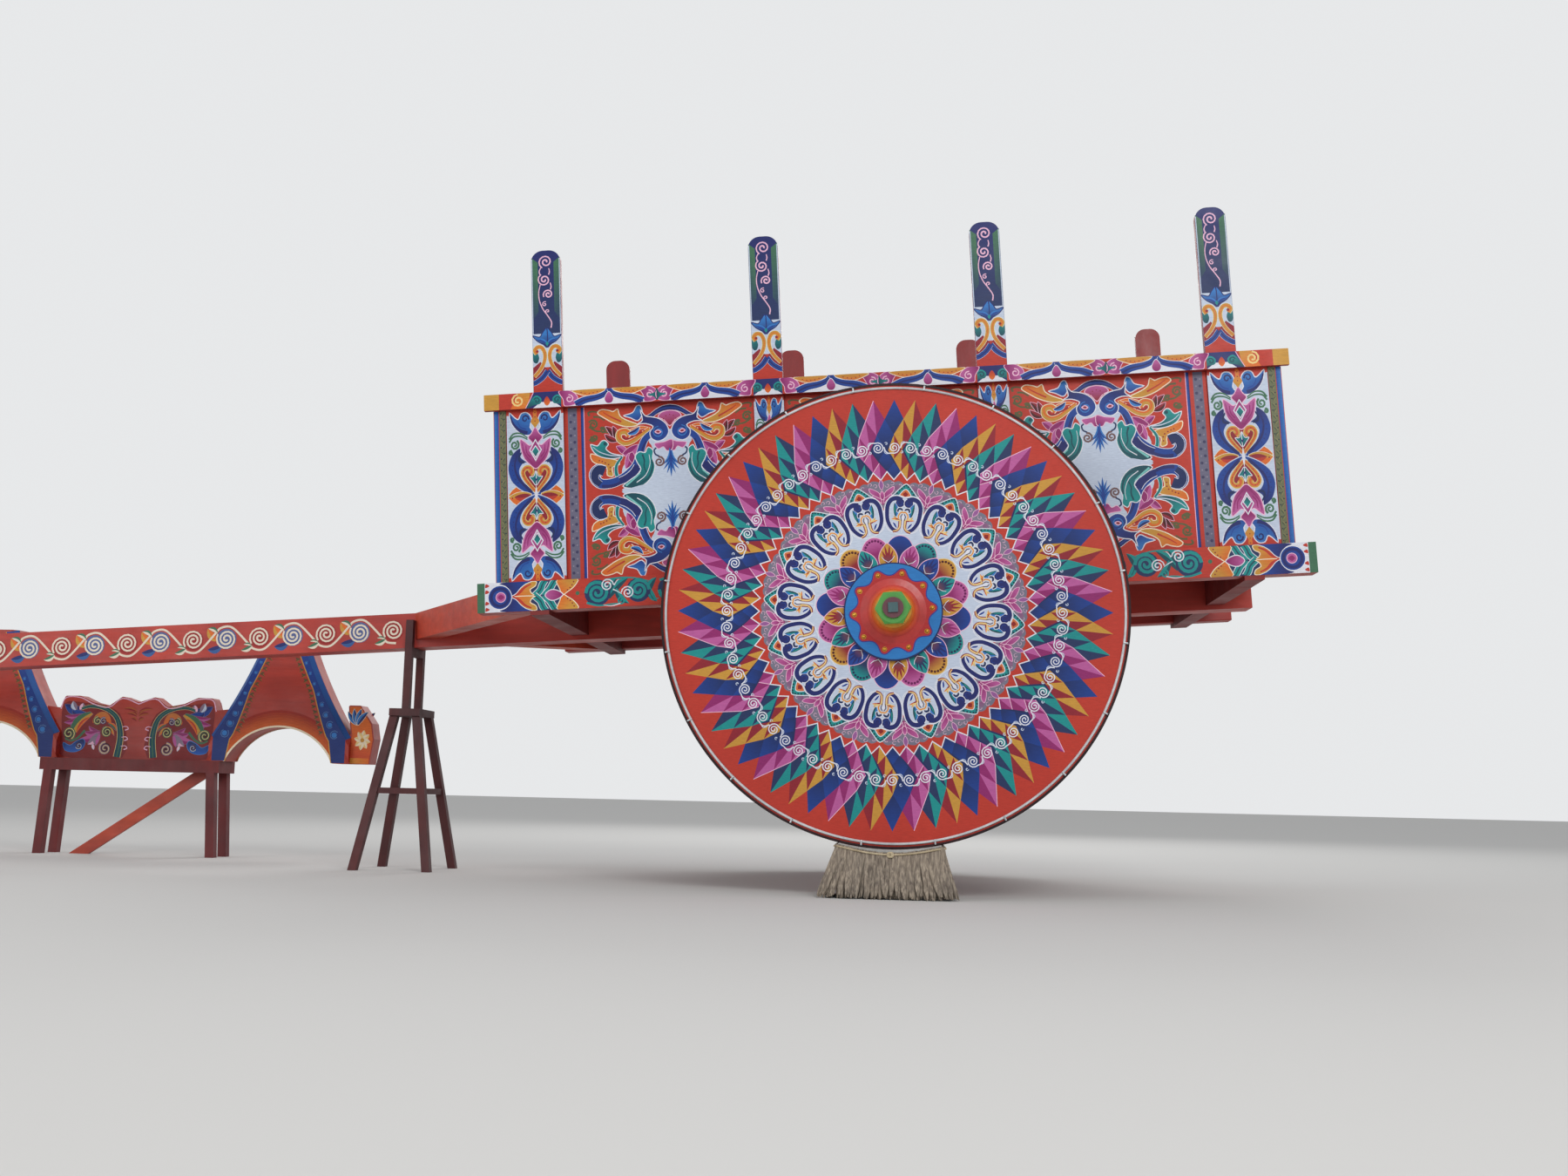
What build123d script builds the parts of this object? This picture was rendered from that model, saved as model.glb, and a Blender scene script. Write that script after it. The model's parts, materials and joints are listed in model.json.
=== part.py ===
# A painted bullock cart of monument size, parked on its stands with the yoke taken off beside the pole.
# Level cart axes: origin on the axle centre, +X to the rear, +Y to the right side, +Z up, millimetres.
# The cart is then lifted to its axle height and tipped nose-down about the axle.
import os
from math import atan2, cos, hypot, radians, sin, tan

from build123d import *

os.makedirs("parts", exist_ok=True)

# How it stands
plinth_height = 300
nose_down = 3.6
contact_gap = 0.3

# Wheels: solid discs of wedge-shaped timbers
wheel_dia = 3000
wheel_thick = 180
wheel_outer_y = 1880
tyre_thick = 16
tyre_width = 190
tyre_edge = 4
wedge_count = 16
seam_width = 9
rim_tube = 16
rim_tube_inset = 10
plate_dia = 632
plate_thick = 26
plate_bevel = 9
nose_length = 120
# columns: radius, share of the nose's length
nose_cove = ((215, 0.00), (168, 0.10), (141, 0.28), (125, 0.55), (118, 0.86), (110, 1.00))
inner_hub_dia = 520
inner_hub_thick = 70
inner_hub_bevel = 25
running_gap = 0.1
end_float = 2

# Axle
axle_side = 220
axle_bevel = 18
journal_dia = 180
stub_dia = 132
stub_proud = 14
nut_flats = 200
nut_thick = 80
nut_bevel = 12
nut_crown = 20
drive_square = 62
drive_length = 12

# Bed: two side sills, the pole between them, fork arms in front and bearers across
sill_front_x = -2810
sill_rear_x = 2780
sill_outer_y = 1480
sill_width = 165
sill_bottom_z = 173
sill_top_z = 375
sill_bevel = 8
bolster_length = 520
pole_tip_x = -9300
pole_rear_x = 2640
pole_width = 240
pole_bottom_z = 110
pole_tip_taper = 0.72
pole_tip_run = 1500
yoke_pin_dia = 70
yoke_pin_back = 420
arm_width = 150
arm_sill_x = -2646
arm_post_gap = 12
bearer_width = 150
bearer_depth = 150
end_bearer_width = 130
end_bearer_lip = 30
end_bearer_back = 345

# Box body
floor_thick = 42
floor_boards = 14
board_gap = 2
panel_thick = 50
panel_front_x = -2690
panel_rear_x = 2660
panel_top_drop = 12
rail_front_x = -2745
rail_rear_x = 2708
rail_bottom_z = 1576
rail_top_z = 1687
rail_thick = 42
rail_bevel = 6
end_board_thick = 50
end_board_inset = 60
tailboard_slack = 5
cleat_size = 60

# Stakes, let into the side panels
stake_pitch = 1526
stake_count = 4
stake_width = 205
stake_thick = 50
stake_let_in = 32
stake_top_z = 2713
stake_round = 80

# Plinths under the wheels
plinth_length = 640
plinth_width = 420
plinth_rise = 40

# Trestle under the pole
trestle_x = -3700
trestle_post = 55
trestle_post_over = 210
trestle_cap_length = 235
trestle_cap_over = 20
trestle_cap_thick = 55
trestle_cap_z = 1210
trestle_leg = 62
trestle_spread_x = 560
trestle_splay_y = 190
trestle_saddle_depth = 60
stretcher_z = 590
stretcher_size = 45

# Yoke, one carved timber: a crested panel, two bells hollowed for the necks, two flared ends
yoke_x = -6420
yoke_y = 1150
crest_thick = 130
# columns: distance from the middle of the panel, height
crest = ((0, 482), (145, 530), (260, 448), (400, 476), (520, 530), (650, 528), (690, 425), (810, 440))
crest_round = 22
bell_centre = 1270
bell_thick = 260
bell_foot_half = 604
bell_skirt = 220
bell_waist_half = 350
bell_waist_z = 660
bell_top_half = 170
bell_top = 1080
bell_bevel = 45
neck_half = 468
neck_rise = 300
end_thick = 170
# columns: distance from the middle of the bell, height
end_block = ((520, 0), (770, 0), (800, 210), (778, 340), (672, 490), (568, 490), (576, 400), (600, 240),
             (520, 230))
end_round = 14

# Bench that the yoke stands on, level and in line with it
bench_top_z = 800
bench_length = 1560
bench_width = 320
bench_beam = 100
bench_leg = 72
bench_splay = 40
brace_foot_x = -540
brace_thick = 36
brace_width = 85

# Sizes that follow from those above
axle_height = plinth_height + wheel_dia / 2
wheel_r = wheel_dia / 2
wheel_inner_y = wheel_outer_y - wheel_thick
disc_r = wheel_r - tyre_thick
bore_r = journal_dia / 2 + running_gap
sill_inner_y = sill_outer_y - sill_width
half_pole = pole_width / 2
floor_top_z = sill_top_z + floor_thick
wall_top_z = rail_top_z - panel_top_drop
stake_outer_y = sill_outer_y - rail_thick
panel_outer_y = stake_outer_y - stake_thick + stake_let_in
panel_inner_y = panel_outer_y - panel_thick
stake_middle_x = (panel_front_x + panel_rear_x) / 2
stakes_x = [stake_middle_x + (i - (stake_count - 1) / 2) * stake_pitch for i in range(stake_count)]
slope = tan(radians(nose_down))
sides = (("left", -1), ("right", 1))
cart = {}
standing = {}


def bar(x0, x1, y0, y1, z0, z1, bevel=0):
    # a straight timber between two corners, its long edges eased by a bevel
    length, width, height = x1 - x0, abs(y1 - y0), z1 - z0
    timber = Pos((x0 + x1) / 2, (y0 + y1) / 2, (z0 + z1) / 2) * Box(length, width, height)
    if bevel:
        long_axis = max(((length, Axis.X), (width, Axis.Y), (height, Axis.Z)), key=lambda pair: pair[0])[1]
        timber = chamfer(timber.edges().filter_by(long_axis), bevel)
    return timber


def turned(points, side, y_from):
    # a piece turned about the axle line from (radius, distance outwards) points
    outline = Polyline(*[(r, side * (y_from + d)) for r, d in points], close=True)
    return revolve(make_face(outline), Axis.Y)


def leaning_leg(head, foot, size):
    # a square leg from its head (x, y, z) to its foot (x, y), cut level at both ends
    top = Pos(*head) * Rectangle(size, size)
    bottom = Pos(foot[0], foot[1], 0) * Rectangle(size, size)
    return loft([bottom, top], ruled=True)


def outline_face(points):
    return make_face(Polyline(*points, close=True))


# Wheels with their tyres, hub plates and turned noses
seam = Pos(disc_r / 2, 0, 0) * Rot(45, 0, 0) * Box(disc_r, seam_width, seam_width)
for name, side in sides:
    disc = turned([(bore_r, 0), (disc_r, 0), (disc_r, wheel_thick), (bore_r, wheel_thick)],
                  side, wheel_inner_y)
    for i in range(wedge_count):
        disc -= Pos(0, side * wheel_inner_y, 0) * Rot(0, i * 360 / wedge_count, 0) * seam
    cart[f"wheel_disc_{name}"] = disc
    over = (tyre_width - wheel_thick) / 2
    tread = [(wheel_r - tyre_edge, -over), (wheel_r, tyre_edge - over),
             (wheel_r, tyre_width - over - tyre_edge), (wheel_r - tyre_edge, tyre_width - over)]
    tyre_ring = [(disc_r, -over)] + tread + [(disc_r, tyre_width - over)]
    cart[f"tyre_{name}"] = turned(tyre_ring, side, wheel_inner_y)
    tube_r = disc_r - rim_tube_inset - rim_tube / 2
    tube_seat = rim_tube / 2 * sin(radians(60))
    ring = [(tube_r + rim_tube / 2 * cos(radians(60 * i)), tube_seat + rim_tube / 2 * sin(radians(60 * i)))
            for i in range(6)]
    cart[f"rim_tube_{name}"] = turned(ring, side, wheel_outer_y)
    plate_r = plate_dia / 2
    cart[f"hub_plate_{name}"] = turned([(bore_r, 0), (plate_r, 0), (plate_r, plate_thick - plate_bevel),
                                        (plate_r - plate_bevel, plate_thick), (bore_r, plate_thick)],
                                       side, wheel_outer_y)
    cove = [(r, share * nose_length) for r, share in nose_cove]
    cart[f"hub_nose_{name}"] = turned([(bore_r, 0)] + cove + [(bore_r, nose_length)],
                                      side, wheel_outer_y + plate_thick)
    hub_r = inner_hub_dia / 2
    cart[f"hub_back_{name}"] = turned([(bore_r, 0), (hub_r, 0), (hub_r - inner_hub_bevel, -inner_hub_thick),
                                       (bore_r, -inner_hub_thick)], side, wheel_inner_y)

# Axle beam with turned ends, a nut on each and a square to turn it by
beam_end_y = wheel_inner_y - inner_hub_thick - end_float
nut_face_y = wheel_outer_y + plate_thick + nose_length + end_float
stub_end_y = nut_face_y + nut_thick + stub_proud
axle = bar(-axle_side / 2, axle_side / 2, -beam_end_y, beam_end_y, -axle_side / 2, axle_side / 2, axle_bevel)
nut_crown_r = nut_flats / 2 / cos(radians(30))
for name, side in sides:
    profile = [(0, beam_end_y), (journal_dia / 2, beam_end_y), (journal_dia / 2, nut_face_y),
               (stub_dia / 2, nut_face_y), (stub_dia / 2, stub_end_y), (0, stub_end_y)]
    drive = Pos(0, side * (stub_end_y + drive_length / 2), 0) * Box(drive_square, drive_length, drive_square)
    axle = axle + turned(profile, side, 0) + drive
    hexagon = RegularPolygon(nut_flats / 2, 6, major_radius=False) - Circle(stub_dia / 2)
    nut = extrude(Plane.XZ.offset(-side * nut_face_y) * hexagon, -side * nut_thick)
    crown = turned([(0, 0), (nut_crown_r, 0), (nut_crown_r, nut_thick - nut_bevel),
                    (nut_crown_r - nut_crown, nut_thick), (0, nut_thick)], side, nut_face_y)
    cart[f"axle_nut_{name}"] = nut & crown
cart["axle"] = axle

# Sills with their bolsters on the axle
for name, side in sides:
    across = (side * sill_inner_y, side * sill_outer_y)
    cart[f"sill_{name}"] = bar(sill_front_x, sill_rear_x, *across, sill_bottom_z, sill_top_z, sill_bevel)
    half_bolster = bolster_length / 2
    cart[f"bolster_{name}"] = bar(-half_bolster, half_bolster, *across, axle_side / 2, sill_bottom_z)

# Pole, thinner towards its tip, with a hole for the yoke pin
tip_half = half_pole * pole_tip_taper
neck_x = pole_tip_x + pole_tip_run
pole_plan = outline_face([(pole_rear_x, -half_pole), (neck_x, -half_pole), (pole_tip_x, -tip_half),
                          (pole_tip_x, tip_half), (neck_x, half_pole), (pole_rear_x, half_pole)])
pole = extrude(Plane.XY.offset(pole_bottom_z) * pole_plan, sill_top_z - pole_bottom_z)
pin_hole = Cylinder(yoke_pin_dia / 2, 2 * (sill_top_z - pole_bottom_z))
cart["pole"] = pole - Pos(pole_tip_x + yoke_pin_back, 0, (pole_bottom_z + sill_top_z) / 2) * pin_hole

# Fork arms from just behind the trestle out to the sills, mitred at both ends
arm_pole_x = trestle_x + trestle_post / 2 + arm_post_gap
arm_angle = atan2(sill_inner_y - half_pole, arm_sill_x - arm_pole_x)
arm_step = arm_width / sin(arm_angle)
for name, side in sides:
    at_pole, at_sill = side * half_pole, side * sill_inner_y
    arm = outline_face([(arm_pole_x, at_pole), (arm_pole_x + arm_step, at_pole),
                        (arm_sill_x + arm_step, at_sill), (arm_sill_x, at_sill)])
    cart[f"fork_arm_{name}"] = extrude(Plane.XY.offset(sill_bottom_z) * arm, sill_top_z - sill_bottom_z)

# Bearers across the bed: the first behind the arms and the last run on under the sills
first_x = arm_sill_x + arm_step + contact_gap + end_bearer_width / 2
last_x = sill_rear_x - end_bearer_back - end_bearer_width / 2
row = []
for x, width, lipped in ((first_x, end_bearer_width, True), (stakes_x[1], bearer_width, False),
                         (stakes_x[2], bearer_width, False), (last_x, end_bearer_width, True)):
    low_z = sill_bottom_z - end_bearer_lip if lipped else sill_top_z - bearer_depth
    for name, side in sides:
        bearer = bar(x - width / 2, x + width / 2, side * half_pole, side * sill_inner_y, low_z, sill_top_z)
        if lipped:
            bearer += bar(x - width / 2, x + width / 2, side * sill_inner_y, side * sill_outer_y,
                          low_z, sill_bottom_z)
        row.append(bearer)
cart["bearers"] = Compound(children=row)

# Floor boards laid across sills and pole
run = (panel_rear_x - panel_front_x) / floor_boards
boards = []
for i in range(floor_boards):
    board_x = panel_front_x + i * run
    boards.append(bar(board_x, board_x + run - board_gap, -panel_inner_y, panel_inner_y,
                      sill_top_z, floor_top_z))
cart["floor"] = Compound(children=boards)

# Side panels with the stakes let in, top rails and corner boards
for name, side in sides:
    panel = bar(panel_front_x, panel_rear_x, side * panel_inner_y, side * panel_outer_y,
                sill_top_z, wall_top_z)
    cart[f"top_rail_{name}"] = bar(rail_front_x, rail_rear_x, side * stake_outer_y, side * sill_outer_y,
                                   rail_bottom_z, rail_top_z, rail_bevel)
    foot_z = sill_top_z + contact_gap
    height = stake_top_z - foot_z
    upright = RectangleRounded(stake_width, 2 * height, stake_round)
    upright &= Pos(0, height / 2) * Rectangle(stake_width, height)
    stake = extrude(Plane.XZ.offset(-side * stake_outer_y) * upright, side * stake_thick)
    notch = stake_width / 2 + contact_gap
    notch_y = side * (stake_outer_y - stake_thick - contact_gap)
    for x in stakes_x:
        panel -= bar(x - notch, x + notch, notch_y, side * stake_outer_y, sill_top_z - 1, wall_top_z + 1)
    cart[f"side_panel_{name}"] = panel
    cart[f"stakes_{name}"] = Compound(children=[Pos(x, 0, foot_z) * stake for x in stakes_x])
    cart[f"corner_boards_{name}"] = Compound(children=[
        bar(x0, x1, side * panel_outer_y, side * stake_outer_y, sill_top_z, rail_bottom_z)
        for x0, x1 in ((panel_front_x, stakes_x[0] - notch), (stakes_x[-1] + notch, panel_rear_x))])

# Front board fixed between the side panels, tailboard loose in its cleats
front_x = panel_front_x + end_board_inset
rear_x = panel_rear_x - end_board_inset - end_board_thick
tail_half = panel_inner_y - tailboard_slack
cart["front_board"] = bar(front_x, front_x + end_board_thick, -panel_inner_y, panel_inner_y,
                          floor_top_z, wall_top_z)
cart["tailboard"] = bar(rear_x, rear_x + end_board_thick, -tail_half, tail_half,
                        floor_top_z + contact_gap, wall_top_z)
cart["tailboard_cleats"] = Compound(children=[
    bar(x, x + cleat_size, side * (panel_inner_y - cleat_size), side * panel_inner_y, floor_top_z, wall_top_z)
    for x in (rear_x - tailboard_slack - cleat_size, rear_x + end_board_thick + tailboard_slack)
    for name, side in sides])

# Plinths hollowed to the wheels' curve
for name, side in sides:
    top_z = plinth_height + plinth_rise
    centre_y = side * (wheel_outer_y - wheel_thick / 2)
    block = Pos(0, centre_y, top_z / 2) * Box(plinth_length, plinth_width, top_z)
    cradle = Pos(0, centre_y, axle_height) * Rot(90, 0, 0) * Cylinder(wheel_r + contact_gap, 2 * plinth_width)
    standing[f"plinth_{name}"] = block - cradle


def parked_z(x, z):
    # height above the floor of a point given in level cart axes, beside the axle
    return axle_height + x * sin(radians(nose_down)) + z * cos(radians(nose_down))


# Trestle: four leaning legs under a cap, with two posts that hold the pole between them
pole_under = parked_z(trestle_x, pole_bottom_z)
cap_bottom = trestle_cap_z - trestle_cap_thick
cap_width = pole_width + 2 * (trestle_post + trestle_cap_over)
standing["trestle_cap"] = Pos(trestle_x, 0, trestle_cap_z - trestle_cap_thick / 2) * Box(
    trestle_cap_length, cap_width, trestle_cap_thick)
post_y = half_pole + contact_gap + trestle_post / 2
post_height = pole_under + trestle_post_over - trestle_cap_z
post = Box(trestle_post, trestle_post, post_height)
standing["trestle_posts"] = Compound(children=[
    Pos(trestle_x, side * post_y, trestle_cap_z + post_height / 2) * post for name, side in sides])
saddle_top = pole_under - trestle_post / 2 * slope - contact_gap
standing["trestle_saddle"] = Pos(trestle_x, 0, saddle_top - trestle_saddle_depth / 2) * Box(
    trestle_post, pole_width, trestle_saddle_depth)
head_x = (trestle_cap_length - trestle_leg) / 2
foot_x = trestle_spread_x / 2
foot_y = post_y + trestle_splay_y
legs = [leaning_leg((trestle_x + sx * head_x, sy * post_y, cap_bottom),
                    (trestle_x + sx * foot_x, sy * foot_y), trestle_leg)
        for sx in (-1, 1) for sy in (-1, 1)]
standing["trestle_legs"] = Compound(children=legs)
share = stretcher_z / cap_bottom
reach_x = foot_x + share * (head_x - foot_x)
reach_y = foot_y + share * (post_y - foot_y)
stretchers = []
for s in (-1, 1):
    lengthways = Box(2 * reach_x, stretcher_size, stretcher_size)
    crossways = Box(stretcher_size, 2 * reach_y, stretcher_size)
    stretchers.append(Pos(trestle_x, s * reach_y, stretcher_z) * lengthways)
    stretchers.append(Pos(trestle_x + s * reach_x, 0, stretcher_z) * crossways)
for leg in legs:
    stretchers = [piece - leg for piece in stretchers]
trimmed = [max(piece.solids(), key=lambda solid: solid.volume) for piece in stretchers]
standing["trestle_stretchers"] = Compound(children=trimmed)

# Yoke: the crested panel, with a bell and a flared end on each side of it
top_line = list(crest) + [(bell_centre, crest[-1][1])]
mirrored = [(-x, z) for x, z in reversed(top_line)]
panel_face = outline_face(mirrored + top_line[1:] + [(bell_centre, 0), (-bell_centre, 0)])
corners = [v for v in panel_face.vertices() if v.Y > 0 and abs(v.X) < crest[-2][0]]
yoke = extrude(Plane.XZ * fillet(corners, crest_round), crest_thick / 2, both=True)
edge = [
    Line((-bell_foot_half, bell_skirt), (-bell_foot_half, 0)),
    Line((-bell_foot_half, 0), (-neck_half, 0)),
    ThreePointArc((-neck_half, 0), (0, neck_rise), (neck_half, 0)),
    Line((neck_half, 0), (bell_foot_half, 0)),
    Line((bell_foot_half, 0), (bell_foot_half, bell_skirt)),
    ThreePointArc((bell_foot_half, bell_skirt), (bell_waist_half, bell_waist_z), (bell_top_half, bell_top)),
    Line((bell_top_half, bell_top), (-bell_top_half, bell_top)),
    ThreePointArc((-bell_top_half, bell_top), (-bell_waist_half, bell_waist_z), (-bell_foot_half, bell_skirt)),
]
bell = extrude(Plane.XZ * make_face(Curve(edge)), bell_thick / 2, both=True)
neck_arch = make_face(Curve([edge[2], Line((neck_half, 0), (-neck_half, 0))]))
hollow = extrude(Plane.XZ * neck_arch, bell_thick, both=True)
outer_edges = [e for e in bell.edges() if abs(abs(e.center().Y) - bell_thick / 2) < 1
               and e.center().Z > neck_rise and e.geom_type == GeomType.CIRCLE]
bell = chamfer(outer_edges, bell_bevel)
flare = outline_face(end_block)
round_off = [v for v in flare.vertices() if v.X > end_block[0][0] + 1 and v.Y > 1]
flare = extrude(Plane.XZ * fillet(round_off, end_round), end_thick / 2, both=True)
for s in (-1, 1):
    turn = Pos(s * bell_centre, 0, 0) * Rot(0, 0, 0 if s > 0 else 180)
    yoke = yoke + turn * bell + turn * flare
    yoke -= turn * hollow
standing["yoke"] = Pos(yoke_x, yoke_y, bench_top_z + contact_gap) * yoke

# Bench: a beam on four legs that splay lengthways, with one diagonal brace between them
beam_z = bench_top_z - bench_beam
bench_place = Pos(yoke_x, yoke_y, 0)
standing["bench_top"] = bench_place * Pos(0, 0, bench_top_z - bench_beam / 2) * Box(
    bench_length, bench_width, bench_beam)
leg_x = bench_length / 2 - bench_leg
leg_y = (bench_width - bench_leg) / 2
standing["bench_legs"] = Compound(children=[
    bench_place * leaning_leg((sx * leg_x, sy * leg_y, beam_z),
                              (sx * (leg_x + bench_splay), sy * leg_y), bench_leg)
    for sx in (-1, 1) for sy in (-1, 1)])
brace_head_x = leg_x - bench_leg / 2
brace_run = brace_head_x - brace_foot_x
brace_step = brace_width * hypot(brace_run, beam_z) / beam_z
brace = outline_face([(brace_foot_x, 0), (brace_foot_x + brace_step, 0), (brace_head_x, beam_z),
                      (brace_head_x - brace_step, beam_z)])
standing["bench_brace"] = bench_place * extrude(Plane.XZ * brace, brace_thick / 2, both=True)

# Park the cart, bring the middle of the overall length over the origin and write every piece
park = Pos(0, 0, axle_height) * Rot(0, -nose_down, 0)
pieces = {node: park * shape for node, shape in cart.items()} | standing
boxes = [shape.bounding_box() for shape in pieces.values()]
low_x, high_x = min(box.min.X for box in boxes), max(box.max.X for box in boxes)
centre_x = (low_x + high_x) / 2
for node, shape in pieces.items():
    export_step(Pos(-centre_x, 0, 0) * shape, f"parts/{node}.step")
print("axle centre", round(-centre_x, 4), 0, axle_height)
print("length", round(high_x - low_x, 3), "width", round(max(box.max.Y for box in boxes) * 2, 3),
      "height", round(max(box.max.Z for box in boxes), 3))
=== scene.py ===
import json
import random
from math import atan2, cos, hypot, pi, radians, sin

import bpy
import numpy as np
from mathutils import Matrix, Vector, geometry


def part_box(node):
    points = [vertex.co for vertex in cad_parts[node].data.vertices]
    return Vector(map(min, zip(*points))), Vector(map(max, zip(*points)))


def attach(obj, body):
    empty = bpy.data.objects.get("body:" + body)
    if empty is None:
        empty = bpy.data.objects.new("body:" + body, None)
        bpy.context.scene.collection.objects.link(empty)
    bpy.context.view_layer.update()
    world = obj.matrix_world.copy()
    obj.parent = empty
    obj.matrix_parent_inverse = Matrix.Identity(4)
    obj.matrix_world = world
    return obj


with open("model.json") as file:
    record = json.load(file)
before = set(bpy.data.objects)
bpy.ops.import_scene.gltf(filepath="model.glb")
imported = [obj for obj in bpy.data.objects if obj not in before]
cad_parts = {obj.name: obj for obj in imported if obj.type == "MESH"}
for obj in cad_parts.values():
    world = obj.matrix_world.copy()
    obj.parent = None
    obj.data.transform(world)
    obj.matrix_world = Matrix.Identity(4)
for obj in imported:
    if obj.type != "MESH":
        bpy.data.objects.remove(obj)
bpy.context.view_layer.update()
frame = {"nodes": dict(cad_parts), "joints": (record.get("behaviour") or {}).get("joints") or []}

# The cart's own axes
cart = {"noseDown": 3.6, "liftOff": 0.0008, "wheelY": 1.88, "plateY": 1.906, "railY": 1.48, "stakeY": 1.438,
        "panelY": 1.42, "poleY": 0.12}
spin = [joint for joint in frame["joints"] if joint["name"] == "wheel_spin_left"][0]
axleX, axleZ = spin["pos_m"][0], spin["pos_m"][2]
tipSin, tipCos = sin(radians(cart["noseDown"])), cos(radians(cart["noseDown"]))
alongCart = Vector((tipCos, 0, tipSin))
upCart = Vector((-tipSin, 0, tipCos))
axlePoint = Vector((axleX, 0, axleZ))


def hue(red, green, blue):
    # a paint as given, 0 to 255, turned to linear light
    parts = [value / 255 for value in (red, green, blue)]
    return tuple(part / 12.92 if part <= 0.04045 else ((part + 0.055) / 1.055) ** 2.4 for part in parts)


paints = {
    "red": hue(188, 58, 44), "redDeep": hue(140, 34, 34), "crimson": hue(142, 36, 48),
    "blue": hue(28, 66, 146), "blueDeep": hue(26, 42, 90), "sky": hue(52, 122, 194), "navy": hue(32, 40, 104),
    "gold": hue(200, 148, 60), "goldPale": hue(234, 204, 134), "orange": hue(220, 108, 40),
    "teal": hue(26, 142, 140), "tealDeep": hue(20, 76, 88), "slate": hue(36, 52, 92),
    "pink": hue(186, 92, 154), "pinkPale": hue(236, 186, 210), "magenta": hue(144, 40, 106),
    "white": hue(226, 228, 236), "paleBlue": hue(196, 208, 226), "mauve": hue(136, 120, 140),
    "green": hue(66, 112, 84), "maroon": hue(74, 22, 26), "cream": hue(240, 226, 196),
    "archBead": hue(12, 58, 70), "bellBlue": hue(30, 52, 116), "bellBrown": hue(96, 70, 46),
    "bellCurl": hue(72, 112, 168), "bellGlow": hue(204, 96, 37), "bellOlive": hue(84, 84, 54),
    "bellRed": hue(156, 43, 29), "bellRust": hue(150, 96, 50), "bevelBlue": hue(40, 88, 158),
    "budFire": hue(206, 112, 60), "budPlum": hue(150, 92, 150), "cloudGrey": hue(112, 116, 132),
    "cloudPlum": hue(132, 70, 118), "crestBlue": hue(36, 92, 184), "crestBud": hue(190, 120, 64),
    "crestRed": hue(126, 38, 40), "crestRust": hue(168, 84, 40), "earth": hue(112, 84, 84),
    "greyDeep": hue(62, 60, 92), "greyPale": hue(140, 134, 150), "heartOrange": hue(206, 92, 48),
    "olive": hue(92, 92, 58), "petalHeart": hue(120, 70, 80), "pinkBead": hue(104, 24, 84),
    "plateBlue": hue(44, 122, 192), "plateEdge": hue(58, 56, 140), "plateRed": hue(180, 50, 50),
    "poleBlue": hue(84, 98, 146), "poleLeaf": hue(52, 92, 150), "polePale": hue(228, 216, 196),
    "poleRed": hue(150, 36, 36), "stripDot": hue(44, 46, 60), "stripGrey": hue(106, 104, 126),
    "stripLeaf": hue(128, 124, 84), "stripMoss": hue(70, 84, 62), "stripOlive": hue(108, 112, 82),
    "tealBead": hue(24, 44, 80), "tealPale": hue(120, 196, 190),
}


# Painting: flat shapes laid one over another, then cut into one sheet
brush = {"noLength": 1e-9, "noReach": 1e-12, "cutGap": 1e-5, "mitre": 2.2, "batch": 2000000, "leafSides": 7,
         "leafFull": 0.8, "coreWidth": 0.34}


def paintOf(colour):
    # a paint by its name, or a mixed one as it is
    return paints.get(colour, colour)


def smooth(points, closed=False, steps=5):
    # a soft line through given points
    count = len(points)
    line = []
    for i in range(count if closed else count - 1):
        if closed:
            a, b, c, d = (points[(i + k) % count] for k in (-1, 0, 1, 2))
        else:
            b, c = points[i], points[i + 1]
            a = points[i - 1] if i > 0 else (2 * b[0] - c[0], 2 * b[1] - c[1])
            d = points[i + 2] if i + 2 < count else (2 * c[0] - b[0], 2 * c[1] - b[1])
        for k in range(steps):
            t = k / steps
            line.append(tuple(0.5 * (2 * b[n] + (c[n] - a[n]) * t
                                     + (2 * a[n] - 5 * b[n] + 4 * c[n] - d[n]) * t * t
                                     + (3 * b[n] - a[n] - 3 * c[n] + d[n]) * t ** 3) for n in (0, 1)))
    if not closed:
        line.append(tuple(points[-1]))
    return line


def fill(to, points, colour, fade=None, span=None):
    # a filled outline; fade is a second paint, reached along span from one point to another
    to.append({"kind": "fill", "points": list(points), "colour": paintOf(colour),
               "fade": paintOf(fade or colour), "span": span})


def blob(to, points, colour, fade=None, span=None, steps=3):
    fill(to, smooth(points, True, steps), colour, fade, span)


def band(to, points, width, colour, closed=False, taper=(1, 1)):
    # a brush line along points, as wide as width at its fullest
    count = len(points)
    left, right = [], []
    for i, (x, y) in enumerate(points):
        if closed:
            before, after = points[i - 1], points[(i + 1) % count]
        else:
            before, after = points[max(i - 1, 0)], points[min(i + 1, count - 1)]
        inX, inY = x - before[0], y - before[1]
        outX, outY = after[0] - x, after[1] - y
        inLong, outLong = hypot(inX, inY), hypot(outX, outY)
        if inLong < brush["noLength"]:
            inX, inY, inLong = outX, outY, outLong
        if outLong < brush["noLength"]:
            outX, outY, outLong = inX, inY, inLong
        if inLong < brush["noLength"]:
            continue
        sideX, sideY = -(inY / inLong + outY / outLong), inX / inLong + outX / outLong
        size = hypot(sideX, sideY) or 1
        mitre = min(2 / size, brush["mitre"])
        share = i / max(count - 1, 1)
        half = width / 2 * (taper[0] + (taper[1] - taper[0]) * share) * mitre
        left.append((x + sideX / size * half, y + sideY / size * half))
        right.append((x - sideX / size * half, y - sideY / size * half))
    if closed:
        left.append(left[0])
        right.append(right[0])
    shade = paintOf(colour)
    to.append({"kind": "band", "left": left, "right": right, "colour": shade, "fade": shade, "span": None})


def stroke(to, points, width, colour, taper=(1, 1), steps=3):
    # a brush line along a soft line through given points
    band(to, smooth(points, False, steps), width, colour, taper=taper)


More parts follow.
